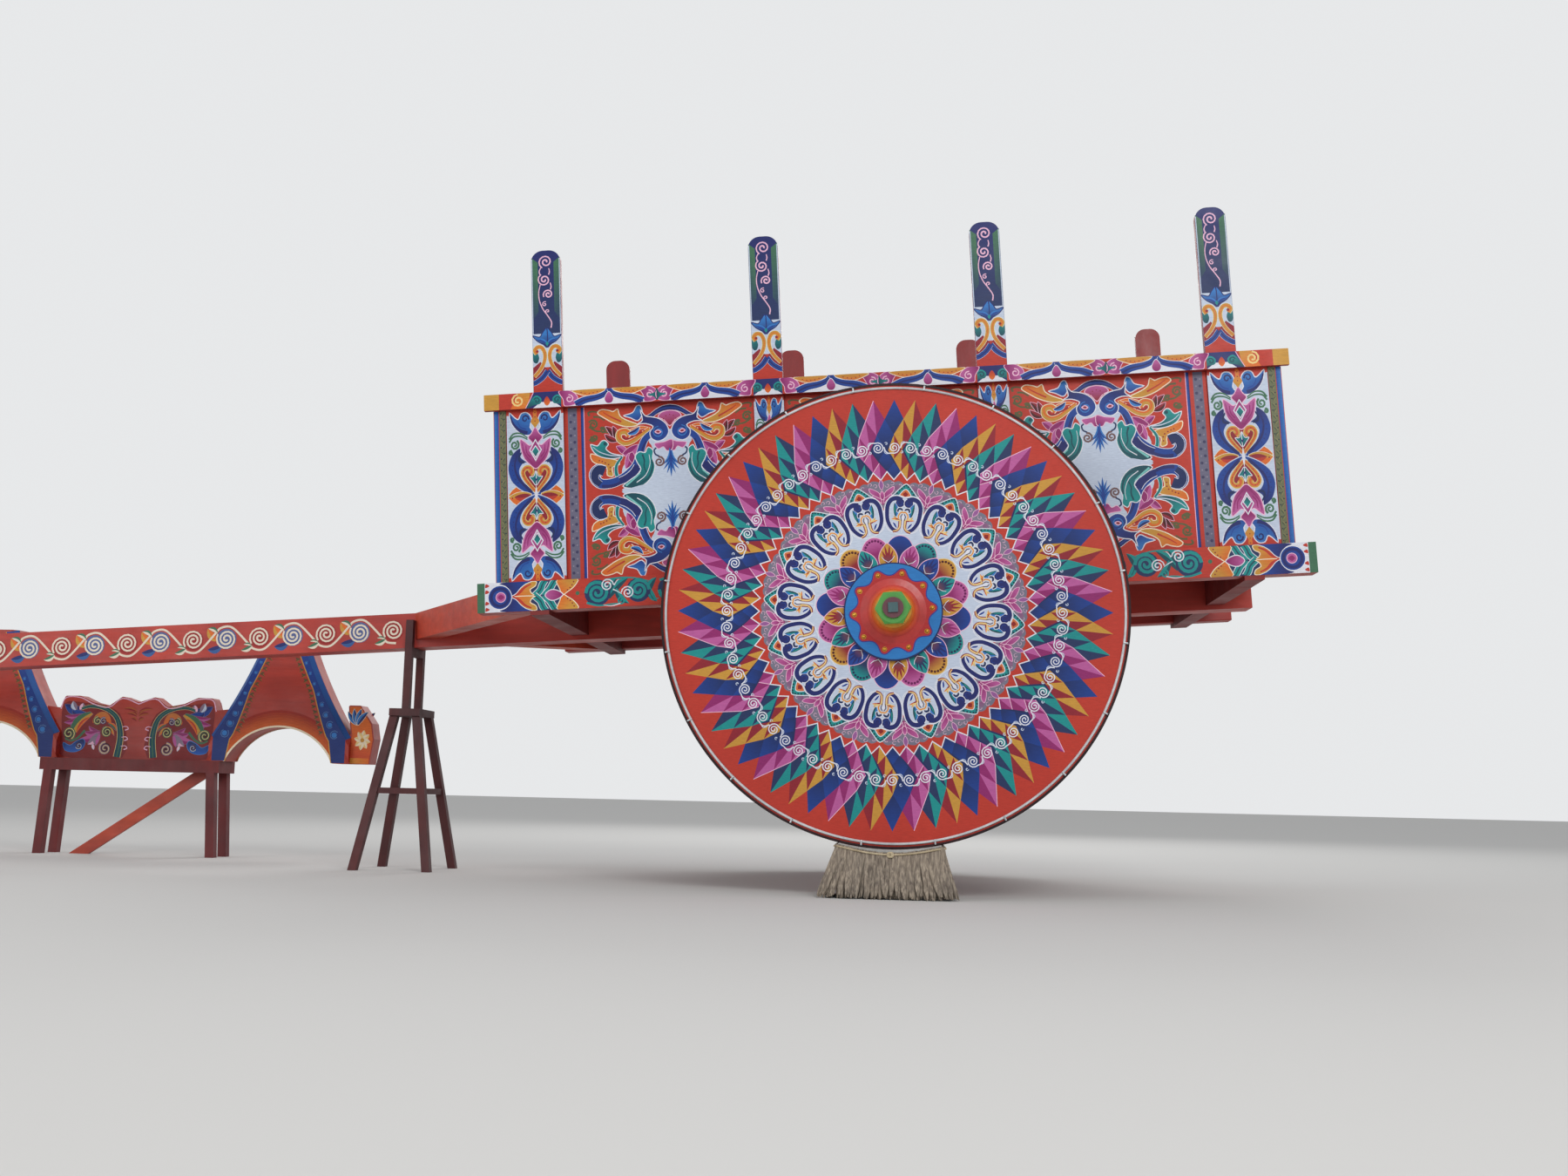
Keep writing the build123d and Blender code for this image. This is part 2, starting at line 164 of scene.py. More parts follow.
def outlined(to, points, colour, line, width, fade=None, span=None, steps=3):
    soft = smooth(points, True, steps)
    fill(to, soft, colour, fade, span)
    band(to, soft, width, line, closed=True)


def dot(to, x, y, radius, colour, sides=10):
    fill(to, [(x + radius * cos(2 * pi * i / sides), y + radius * sin(2 * pi * i / sides))
              for i in range(sides)], colour)


def spots(text, parts=1000, side=1):
    # the points of an outline, written x y in thousandths unless parts says otherwise
    # side -1 puts them on the left
    pairs = ([int(value) / parts for value in point.split()] for point in text.split(","))
    return [(side * x, y) for x, y in pairs]


def gridSpots(text):
    # the same in hundredths, for motifs drawn on a grid of their own
    return spots(text, 100)


def ringOf(radius, sides):
    return [(radius * sin(2 * pi * i / sides), radius * cos(2 * pi * i / sides)) for i in range(sides)]


def coil(x, y, radius, turns, start, way=1, end=0.12, steps=14):
    # points of a spiral from its outside in
    count = int(turns * steps)
    line = []
    for i in range(count + 1):
        share = i / count
        size = radius * (1 - (1 - end) * share)
        angle = radians(start) + way * 2 * pi * turns * share
        line.append((x + size * cos(angle), y + size * sin(angle)))
    return line


def placed(shapes, x=0.0, y=0.0, turn=0.0, size=1.0, flip=False, tall=None):
    # a motif moved, turned clockwise by degrees, sized and mirrored left to right
    c, s = cos(radians(turn)), sin(radians(turn))
    across, upward = (-size if flip else size), (tall or size)

    def put(point):
        px, py = point[0] * across, point[1] * upward
        return (x + px * c + py * s, y - px * s + py * c)
    moved = []
    for shape in shapes:
        copy = dict(shape)
        for key in ("points", "left", "right", "span"):
            if copy.get(key):
                copy[key] = [put(point) for point in copy[key]]
        moved.append(copy)
    return moved


def within(shapes, across, upward):
    # keeps every point on its board
    for shape in shapes:
        for key in ("points", "left", "right"):
            if key in shape:
                shape[key] = [(min(max(x, across[0]), across[1]), min(max(y, upward[0]), upward[1]))
                              for x, y in shape[key]]
    return shapes


def leaf(to, base, tip, bend, width, light, dark, line=None, lineWidth=0.004):
    # a curved two-tone leaf; bend pushes its middle sideways
    dx, dy = tip[0] - base[0], tip[1] - base[1]
    long = hypot(dx, dy)
    nx, ny = -dy / long, dx / long
    spine, edgeA, edgeB = [], [], []
    for i in range(brush["leafSides"]):
        t = i / (brush["leafSides"] - 1)
        off = bend * 4 * t * (1 - t)
        half = width / 2 * (sin(pi * min(1, t * 0.9 + 0.1)) ** brush["leafFull"] if t < 1 else 0)
        px, py = base[0] + dx * t + nx * off, base[1] + dy * t + ny * off
        spine.append((px, py))
        edgeA.append((px + nx * half, py + ny * half))
        edgeB.append((px - nx * half, py - ny * half))
    if line:
        band(to, edgeA + edgeB[::-1], lineWidth, line, closed=True)
    fill(to, edgeA + spine[::-1], light)
    fill(to, edgeB + spine[::-1], dark)


def cutShapes(shapes):
    # cuts the laid shapes into triangles that don't overlap, and gives each the paint that lies on top there
    points, edges, cells = [], [], []
    for index, shape in enumerate(shapes):
        if shape["kind"] == "fill":
            rings = [shape["points"]]
        else:
            a, b = shape["left"], shape["right"]
            rings = [[a[i], b[i], b[i + 1], a[i + 1]] for i in range(len(a) - 1)]
        for ring in rings:
            first = len(points)
            points += ring
            edges += [(first + i, first + (i + 1) % len(ring)) for i in range(len(ring))]
            cells.append((index, np.array(ring)))
    cut = geometry.delaunay_2d_cdt([Vector(point) for point in points], edges, [], 0, brush["cutGap"], False)
    flat = np.array([tuple(vertex) for vertex in cut[0]])
    triangles = np.array([face for face in cut[2] if len(face) == 3])
    corners = flat[triangles]
    area = np.cross(corners[:, 1] - corners[:, 0], corners[:, 2] - corners[:, 0])
    whole = np.abs(area) > brush["noLength"]
    triangles, corners = triangles[whole], corners[whole]
    middle = corners.mean(1)
    order = np.argsort(middle[:, 0])
    sortedX = middle[order, 0]
    top = np.full(len(triangles), -1)
    for index, ring in cells:
        low, high = ring.min(0), ring.max(0)
        found = order[np.searchsorted(sortedX, low[0]):np.searchsorted(sortedX, high[0])]
        found = found[(middle[found, 1] > low[1]) & (middle[found, 1] < high[1])]
        after = np.roll(ring, -1, axis=0)
        for part in np.array_split(found, 1 + len(found) * len(ring) // brush["batch"]):
            px, py = middle[part, :1], middle[part, 1:]
            rise = after[:, 1] - ring[:, 1]
            crossed = (ring[:, 1] > py) != (after[:, 1] > py)
            at = ring[:, 0] + (py - ring[:, 1]) * (after[:, 0] - ring[:, 0]) / np.where(rise == 0, 1, rise)
            turns = (crossed & (px < at)) * np.sign(rise)
            top[part[turns.sum(1) != 0]] = index
    triangles, corners, top = triangles[top >= 0], corners[top >= 0], top[top >= 0]
    start = np.array([shape["colour"] for shape in shapes])[top]
    finish = np.array([shape["fade"] for shape in shapes])[top]
    spans = np.array([shape["span"] or ((0, 0), (0, 0)) for shape in shapes], float)[top]
    along = spans[:, 1] - spans[:, 0]
    reach = np.maximum((along ** 2).sum(1), brush["noReach"])
    share = np.clip(((corners - spans[:, None, 0]) * along[:, None]).sum(2) / reach[:, None], 0, 1)[..., None]
    return flat, triangles, start[:, None] * (1 - share) + finish[:, None] * share


def linked(name, data):
    # a new object in the scene
    piece = bpy.data.objects.new(name, data)
    bpy.context.scene.collection.objects.link(piece)
    return piece


def paintedPiece(name, points, faces, shade, material):
    # a mesh with its own paints at the corners of its faces
    mesh = bpy.data.meshes.new(name)
    mesh.from_pydata(points, [], faces)
    layer = mesh.color_attributes.new("paint", "FLOAT_COLOR", "CORNER")
    values = np.ones((len(mesh.loops), 4), np.float32)
    values[:, :3] = shade
    layer.data.foreach_set("color", values.ravel())
    mesh.materials.append(material)
    return linked(name, mesh)


def sheetOf(name, cut, origin, across, up, outward, body, material):
    # stands a cut sheet at its place, facing outwards
    flat, triangles, shade = cut
    axisU, axisV = Vector(across), Vector(up)
    corners = flat[triangles]
    area = np.cross(corners[:, 1] - corners[:, 0], corners[:, 2] - corners[:, 0])
    reverse = (area < 0) != (axisU.cross(axisV).dot(Vector(outward)) < 0)
    triangles, shade = triangles.copy(), shade.copy()
    triangles[reverse], shade[reverse] = triangles[reverse][:, ::-1], shade[reverse][:, ::-1]
    place = np.array(origin) + flat[:, :1] * np.array(axisU) + flat[:, 1:] * np.array(axisV)
    piece = paintedPiece(name, place.tolist(), triangles.tolist(), shade.reshape(-1, 3), material)
    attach(piece, body)
    print("painted", name, len(triangles), "triangles")


# Finishes
def nodesOf(name):
    material = bpy.data.materials.new(name)
    material.use_nodes = True
    tree = material.node_tree
    return material, tree, tree.nodes["Principled BSDF"]


def add(tree, kind, **values):
    node = tree.nodes.new(kind)
    for key, value in values.items():
        if key in node.inputs:
            node.inputs[key].default_value = value
        else:
            setattr(node, key, value)
    return node


def noiseOf(tree, scale, detail=4.0, stretch=(1, 1, 1), rough=0.55):
    place = add(tree, "ShaderNodeTexCoord")
    mapping = add(tree, "ShaderNodeMapping", Scale=stretch)
    noise = add(tree, "ShaderNodeTexNoise", Scale=scale, Detail=detail, Roughness=rough)
    tree.links.new(place.outputs["Object"], mapping.inputs["Vector"])
    tree.links.new(mapping.outputs["Vector"], noise.inputs["Vector"])
    return noise.outputs["Fac"]


def ramp(tree, source, stops):
    node = add(tree, "ShaderNodeValToRGB")
    for i, (at, colour) in enumerate(stops):
        stop = node.color_ramp.elements[i] if i < 2 else node.color_ramp.elements.new(at)
        stop.position = at
        stop.color = (*colour, 1)
    tree.links.new(source, node.inputs["Fac"])
    return node.outputs["Color"]


def mixed(tree, a, b, share, way="MIX"):
    node = add(tree, "ShaderNodeMix", data_type="RGBA", blend_type=way)
    for socket, value in (("A", a), ("B", b), ("Factor", share)):
        target = [s for s in node.inputs if s.name == socket
                  and s.type == ("VALUE" if socket == "Factor" else "RGBA")][0]
        if hasattr(value, "links") or hasattr(value, "is_linked"):
            tree.links.new(value, target)
        elif socket == "Factor":
            target.default_value = value
        else:
            target.default_value = (*value, 1)
    return [s for s in node.outputs if s.type == "RGBA"][0]


def bumpFrom(tree, shader, height, strength, distance):
    bump = add(tree, "ShaderNodeBump", Strength=strength, Distance=distance)
    tree.links.new(height, bump.inputs["Height"])
    tree.links.new(bump.outputs["Normal"], shader.inputs["Normal"])


def brushPaint(name, roughness, wear):
    # hand-laid enamel: the sheet's own paints, streaked by the brush and a little faded
    material, tree, shader = nodesOf(name)
    attribute = add(tree, "ShaderNodeAttribute", attribute_name="paint")
    streaks = ramp(tree, noiseOf(tree, 26, 5, (1, 1, 6)),
                   [(0.30, (0.80, 0.80, 0.82)), (0.70, (1.08, 1.07, 1.05))])
    clouds = ramp(tree, noiseOf(tree, 1.3, 3), [(0.30, (0.86, 0.85, 0.88)), (0.72, (1.06, 1.05, 1.03))])
    laid = mixed(tree, attribute.outputs["Color"], streaks, wear, "MULTIPLY")
    aged = mixed(tree, laid, clouds, wear, "MULTIPLY")
    tree.links.new(aged, shader.inputs["Base Color"])
    gloss = ramp(tree, noiseOf(tree, 8, 4), [(0.3, (roughness - 0.06,) * 3), (0.75, (roughness + 0.12,) * 3)])
    tree.links.new(gloss, shader.inputs["Roughness"])
    shader.inputs["Specular IOR Level"].default_value = 0.28
    bumpFrom(tree, shader, noiseOf(tree, 60, 5, (1, 1, 5)), 0.12, 0.004)
    return material


def solidPaint(name, colour, second, roughness, grain=(1, 1, 1), scale=6.0, strength=0.25, metallic=0.0):
    # one paint over timber or iron, with grain, patches and worn places in a second colour
    material, tree, shader = nodesOf(name)
    patches = ramp(tree, noiseOf(tree, scale * 0.3, 4), [(0.34, colour), (0.74, second)])
    lines = ramp(tree, noiseOf(tree, scale * 4, 6, grain),
                 [(0.3, (0.78, 0.78, 0.78)), (0.68, (1.08, 1.08, 1.08))])
    tree.links.new(mixed(tree, patches, lines, 0.8, "MULTIPLY"), shader.inputs["Base Color"])
    gloss = ramp(tree, noiseOf(tree, scale, 5), [(0.3, (roughness - 0.08,) * 3),
                                                 (0.75, (roughness + 0.14,) * 3)])
    tree.links.new(gloss, shader.inputs["Roughness"])
    bumpFrom(tree, shader, noiseOf(tree, scale * 6, 6, grain), strength, 0.006)
    shader.inputs["Metallic"].default_value = metallic
    return material


paintMaterial = brushPaint("brushPaint", 0.42, 0.75)
wheelMaterial = brushPaint("wheelPaint", 0.46, 0.7)


# Wheel face
wheel = {"radius": 1.5, "face": 0.9885, "rays": 64, "ringRadius": 0.714, "coilRadius": 0.0255,
         "line": 0.0054, "medallions": 16, "firstMedallion": 5.6, "turn": -0.55, "underRays": 0.768,
         "zigzagIn": 0.573, "zigzagOut": 0.609, "zigzagLine": 0.0046, "rayEdge": 0.0028,
         "underPetals": 0.392, "core": 0.205, "sides": (200, 96, 48)}
rayPaints = (("blue", "blueDeep"), ("gold", "crimson"), ("teal", "slate"), ("pink", "magenta"))
# columns: half steps round and radius of the tip, the left, the right and the foot of one facet
rayRows = (
    ((0, 0.926), (-1, 0.841), (1, 0.841), (0, 0.770)),
    ((-1, 0.841), (-2, 0.772), (0, 0.770), (-1, 0.705)),
    ((-2, 0.772), (-2.7, 0.702), (-1, 0.705), (-2, 0.662)),
    ((-1, 0.705), (-2, 0.662), (0, 0.648), (-1, 0.609)),
    ((0, 0.648), (-1, 0.609), (1, 0.609), (0, 0.573)),
)
# the rows of the first ray that lie over the last ray
seamRows = slice(1, 4)


def polar(angle, radius):
    return (radius * sin(radians(angle)), radius * cos(radians(angle)))


def wheelRays(to):
    half = 180 / wheel["rays"]
    for k in range(wheel["rays"] + 1):
        light, dark = rayPaints[k % len(rayPaints)]
        for tip, left, right, foot in rayRows[seamRows] if k == wheel["rays"] else rayRows:
            corner = [polar(2 * half * k + half * steps, radius) for steps,
                      radius in (tip, left, right, foot)]
            if k % len(rayPaints) == 0:
                fill(to, [corner[0], corner[1], corner[3], corner[2]], light, dark, (corner[0], corner[3]))
            else:
                fill(to, [corner[0], corner[1], corner[3]], light)
                fill(to, [corner[0], corner[3], corner[2]], dark)
                band(to, [corner[0], corner[1]], wheel["rayEdge"], "pinkPale" if light == "pink" else light)


def wheelChain(to):
    # white linked spirals, curled in turn over and under, with a comma between each pair
    step = 360 / wheel["rays"]
    radius, size = wheel["ringRadius"], wheel["coilRadius"]
    for k in range(wheel["rays"]):
        angle = k * step
        motif = []
        side = 1 if k % 2 else -1
        lead = [(-1.72 * size, side * -0.10 * size), (-1.46 * size, side * 0.58 * size),
                (-0.98 * size, side * 0.96 * size)]
        curl = coil(0, 0, size, 2.1, 112 * side, -side, 0.12, 13)
        band(motif, smooth(lead + [curl[0]], False, 3) + curl[1:], wheel["line"], "white", taper=(0.9, 0.8))
        branch = spots("-1660 420, -1580 840, -1260 1040, -1040 1000")
        stroke(motif, [(x * size, y * side * size) for x, y in branch], wheel["line"] * 0.8, "paleBlue",
               (0.6, 1))
        comma = coil(-1.36 * size, -0.72 * side * size, 0.24 * size, 0.8, 200 * side, side, 0.6, 8)
        band(motif, comma, wheel["line"] * 0.8, "paleBlue", taper=(0.5, 1.1))
        to += placed(motif, *polar(angle, radius), angle)


def zigzag(to):
    half = 180 / wheel["rays"]
    line = [polar(half * i, wheel["zigzagIn"] if i % 2 == 0 else wheel["zigzagOut"])
            for i in range(2 * wheel["rays"])]
    fill(to, line, "red")
    band(to, line, wheel["zigzagLine"], "white", closed=True)


def cloudMotif():
    # soft mauve leaves behind each lotus, then the lotus itself; upwards is outwards, from the wheel's centre
    to = []
    cloud = spots("0 560, 16 568, 40 571, 58 560, 76 562, 94 550, 106 520")
    blob(to, [(-x, y) for x, y in cloud[::-1]] + cloud[1:] + spots("104 470, 0 450, -104 470"), "mauve",
         "cloudGrey", ((0, 0.50), (0, 0.575)))
    for s in (-1, 1):
        for x, y, turnBy in ((0.080, 0.542, 30), (0.048, 0.556, 10), (0.026, 0.548, -30)):
            band(to, coil(s * x, y, 0.010, 0.8, 200 + turnBy, s, 0.5, 8), 0.0024, "pinkPale",
                 taper=(0.5, 0.9))
        blob(to, spots("66 522, 82 536, 70 548, 52 538", side=s), "cloudPlum", "mauve",
             ((s * 0.05, 0.52), (s * 0.09, 0.56)))
    outlined(to, spots("-10 552, 0 575, 10 552, 0 530"), "budPlum", "pinkPale", 0.0022)
    fill(to, spots("0 4635, -300 4940, -140 5200, 140 5200, 300 4940", 10000), "magenta")
    for s in (-1, 1):
        outlined(to, spots("4 472, 22 488, 41 499, 37 510, 12 502", side=s), "magenta", "pinkPale", 0.0024,
                 "pink", ((0, 0.47), (s * 0.04, 0.51)))
        outlined(to, spots("6 494, 26 503, 49 520, 54 541, 34 534, 12 517", side=s), "magenta", "pinkPale",
                 0.0024, "pink", ((0, 0.49), (s * 0.05, 0.54)))
    outlined(to, spots("0 486, -10 505, 0 526, 10 505"), "pink", "pinkPale", 0.0026, "magenta",
             ((0, 0.52), (0, 0.49)))
    return to


def archMotif():
    # the teal pointed arch with a fire-coloured bud that stands behind each medallion
    to = []
    outlined(to, spots("-62 484, -46 510, -24 537, 0 557, 24 537, 46 510, 62 484"), "teal", "white", 0.0034,
             "navy", ((0, 0.520), (0, 0.492)))
    for s in (-1, 1):
        for x, y in spots("9 544, 18 535, 27 525, 36 513"):
            dot(to, s * x, y, 0.0044, "archBead", 7)
    dot(to, 0, 0.550, 0.0044, "archBead", 7)
    outlined(to, spots("-27 496, -17 519, 0 533, 17 519, 27 496, 0 480"), "budFire", "white", 0.0032)
    fill(to, spots("0 523, 12 511, 0 497, -12 511"), "redDeep")
    return to


def medallionMotif():
    # a navy horseshoe with two scroll heads round a spray of leaves
    to = []
    ground = spots("0 4980, 300 5050, 600 4960, 790 4680, 835 4300, 770 3880, 560 3500, 0 3350", 10000)
    outlined(to, ground + [(-x, y) for x, y in ground[-2:0:-1]], "paleBlue", "white", 0.0034)
    for s in (-1, 1):
        side = spots("120 4840, 350 4910, 580 4820, 705 4570, 704 4240, 640 3900, 460 3610, 250 3480", 10000)
        sweep = smooth([(s * x, y) for x, y in side], False, 3)
        band(to, sweep, 0.0262, "white", taper=(1.0, 0.72))
        dot(to, s * 0.0185, 0.472, 0.0218, "white", 16)
        band(to, sweep, 0.0212, "navy", taper=(1.0, 0.68))
        dot(to, s * 0.0185, 0.472, 0.0190, "navy", 16)
        band(to, coil(s * 0.0185, 0.472, 0.012, 0.7, 90 - 60 * s, -s, 0.8, 8), 0.0020, "blue")
        stem = smooth([(s * x, y) for x, y in spots("120 3980, 116 3670, 210 3510, 380 3450", 10000)], False,
                      3)
        band(to, stem, 0.0140, "crimson", taper=(1, 0.7))
        band(to, [(x - s * 0.001, y + 0.002) for x, y in stem], 0.0076, "goldPale", taper=(1, 0.5))
        outlined(to, spots("20 360, 32 366, 44 386, 30 381", side=s), "blue", "white", 0.0024)
        leaf(to, (s * 0.031, 0.412), (s * 0.043, 0.472), s * 0.003, 0.022, "sky" if s > 0 else "tealDeep",
             "tealDeep" if s > 0 else "sky", "white", 0.0022)
        leaf(to, (s * 0.036, 0.424), (s * 0.042, 0.462), s * 0.002, 0.010, "teal", "tealDeep")
        outlined(to, spots("3 436, 3 446, 13 452, 26 449, 30 434, 22 430, 18 440, 11 439", side=s), "slate",
                 "white", 0.0026)
        for tip, bend, wide, colour in (
                ((0.043, 0.414), -0.003, 0.010, "gold"), ((0.050, 0.399), 0.002, 0.011, "orange"),
                ((0.032, 0.396), 0.002, 0.012, "crimson")):
            leaf(to, (s * 0.014, 0.396), (s * tip[0], tip[1]), s * bend, wide, "goldPale", colour)
        crown = smooth(spots("0 4290, 60 4325, 160 4250, 210 4100, 160 4020", 10000, side=s), False, 3)
        band(to, crown, 0.0085, "goldPale", taper=(0.9, 0.8))
        band(to, crown, 0.0036, "orange", taper=(0.9, 0.8))
        band(to, spots("40 4240, 105 4130, 60 3940", 10000, side=s), 0.0036, "maroon")
    band(to, [(0, 0.345), (0, 0.400)], 0.0034, "white")
    leaf(to, (0, 0.394), (0, 0.424), 0, 0.0115, "white", "white")
    return to


def petalMotifs():
    # outer round petals with a dotted edge and inner pointed petals with veins, in four paints each
    outer, inner = {}, {}
    for name, deep in (("blue", "navy"), ("teal", "slate"), ("gold", "crimson"), ("pink", "magenta")):
        to = []
        outlined(to, spots("0 331, 30 321, 52 294, 57 258, 40 205, -40 205, -57 258, -52 294, -30 321"),
                 name, "goldPale" if name == "gold" else "pinkPale", 0.0030, deep, ((0, 0.306), (0, 0.262)))
        if name != "blue":
            bead = {"teal": "tealBead", "gold": "maroon", "pink": "pinkBead"}[name]
            for i in range(-5, 6):
                dot(to, 0.044 * sin(radians(i * 17)), 0.268 + 0.049 * cos(radians(i * 17)), 0.0058, bead, 7)
        outer[name] = to
        to = []
        outlined(to, spots("0 297, 16 284, 34 258, 40 228, 28 198, -28 198, -40 228, -34 258, -16 284"),
                 name, "pinkPale", 0.0032)
        for angle, long in ((-58, 0.038), (-34, 0.055), (-11, 0.068), (11, 0.068), (34, 0.055), (58, 0.038)):
            tip = (long * sin(radians(angle)) * 0.80, 0.222 + long * cos(radians(angle)))
            leaf(to, (0, 0.206), tip, 0, 0.0105, deep, deep)
        fill(to, spots("0 205, 20 228, 10 246, 0 256, -10 246, -20 228"), deep, "petalHeart",
             ((0, 0.25), (0, 0.21)))
        band(to, spots("-27 240, -18 226, 0 214, 18 226, 27 240"), 0.0028, "white")
        inner[name] = to
    return outer, inner


def roundTheHub(to, motifs, shift=0):
    # the motifs in turn, one at each medallion's place, or shifted by a share of the step
    for j in range(wheel["medallions"]):
        turn = wheel["firstMedallion"] + (j + shift) * 360 / wheel["medallions"]
        to += placed(motifs[j % len(motifs)], turn=turn)


def wheelShapes():
    to = []
    fill(to, ringOf(wheel["face"], wheel["sides"][0]), "red")
    fill(to, ringOf(wheel["underRays"], wheel["sides"][1]), "blueDeep")
    wheelRays(to)
    wheelChain(to)
    zigzag(to)
    roundTheHub(to, [cloudMotif()], -0.5)
    roundTheHub(to, [archMotif()])
    fill(to, ringOf(wheel["underPetals"], wheel["sides"][1]), "paleBlue")
    roundTheHub(to, [medallionMotif()])
    outer, inner = petalMotifs()
    roundTheHub(to, [outer[name] for name in ("blue", "teal", "gold", "pink")])
    roundTheHub(to, [inner[name] for name in ("pink", "blue", "teal", "gold")], 0.5)
    fill(to, ringOf(wheel["core"], wheel["sides"][2]), "blueDeep")
    return placed(to, turn=wheel["turn"], size=wheel["radius"])


hub = {"radius": 0.316, "lobes": 10, "firstLobe": 12, "tip": 0.890, "valley": 0.735, "edge": 0.001,
       "rim": 0.009, "sides": 120, "starLine": 0.007}


def hubShapes():
    to = []
    fill(to, ringOf(hub["radius"] - hub["edge"], hub["sides"]), "blueDeep")
    fill(to, ringOf(hub["radius"] - hub["rim"], hub["sides"]), "plateBlue")
    star = []
    swing = hub["tip"] - hub["valley"]
    for i in range(hub["lobes"]):
        for share, drop in spots("-100 100, 0 0, 100 100, 200 450, 320 820, 500 1000, 680 820, 800 450"):
            angle = hub["firstLobe"] + (i + share) * 360 / hub["lobes"]
            star.append(polar(angle, hub["radius"] * (hub["tip"] - swing * drop)))
    outlined(to, star, "plateRed", "plateEdge", hub["starLine"])
    return to


wheelLayers, hubLayers = cutShapes(wheelShapes()), cutShapes(hubShapes())
for side, sign in (("left", -1), ("right", 1)):
    outward = (0, sign, 0)
    origin = axlePoint + Vector((0, sign * (cart["wheelY"] + cart["liftOff"]), 0))
    sheetOf(f"wheelPaint_{side}", wheelLayers, origin, (1, 0, 0), (0, 0, 1), outward, f"wheel_{side}",
            wheelMaterial)
    origin = axlePoint + Vector((0, sign * (cart["plateY"] + cart["liftOff"]), 0))
    sheetOf(f"hubPaint_{side}", hubLayers, origin, (1, 0, 0), (0, 0, 1), outward, f"wheel_{side}",
            wheelMaterial)

# The cart's painted boards: sizes along the level cart (x) and above its axle (z), in metres
board = {"panelX": (-2.69, 2.66), "panelZ": (0.375, 1.576), "stakeX": (-2.304, -0.778, 0.748, 2.274),
         "stakeHalf": 0.1025, "stakeTop": 2.713, "stakeRound": 0.08, "railX": (-2.745, 2.708),
         "railZ": (1.576, 1.687), "sillX": (-2.81, 2.78), "sillZ": (0.173, 0.375), "endX": (-2.63, 2.60),
         "endZ": (0.417, 1.675), "strip": 0.092}
# sizes of the motifs on their own grids
grid = {"totemWide": 3.34, "totemHalf": 4.55, "fieldWide": 8.9, "fieldTall": 9.35}


def box(to, x0, x1, y0, y1, colour, fade=None, span=None):
    fill(to, [(x0, y0), (x1, y0), (x1, y1), (x0, y1)], colour, fade, span)


def bothWays(half):
    # a motif and its mirror image to the left
    return half + placed(half, flip=True)


def scroll(to, points, width, colour, edge="white", core=None, taper=(1, 1), rim=0.12, steps=5):
    # a painted scroll: pale edge, body and a lighter line along its middle
    line = smooth(points, False, steps)
    band(to, line, width * (1 + rim * 2), edge, taper=taper)
    band(to, line, width, colour, taper=taper)
    if core:
        band(to, line, width * brush["coreWidth"], core, taper=(taper[0] * 0.8, taper[1] * 0.5))


def dotted(to, points, radius, colour, every=3, steps=5):
    for i, (x, y) in enumerate(smooth(points, False, steps)):
        if i % every == 1:
            dot(to, x, y, radius, colour, 6)


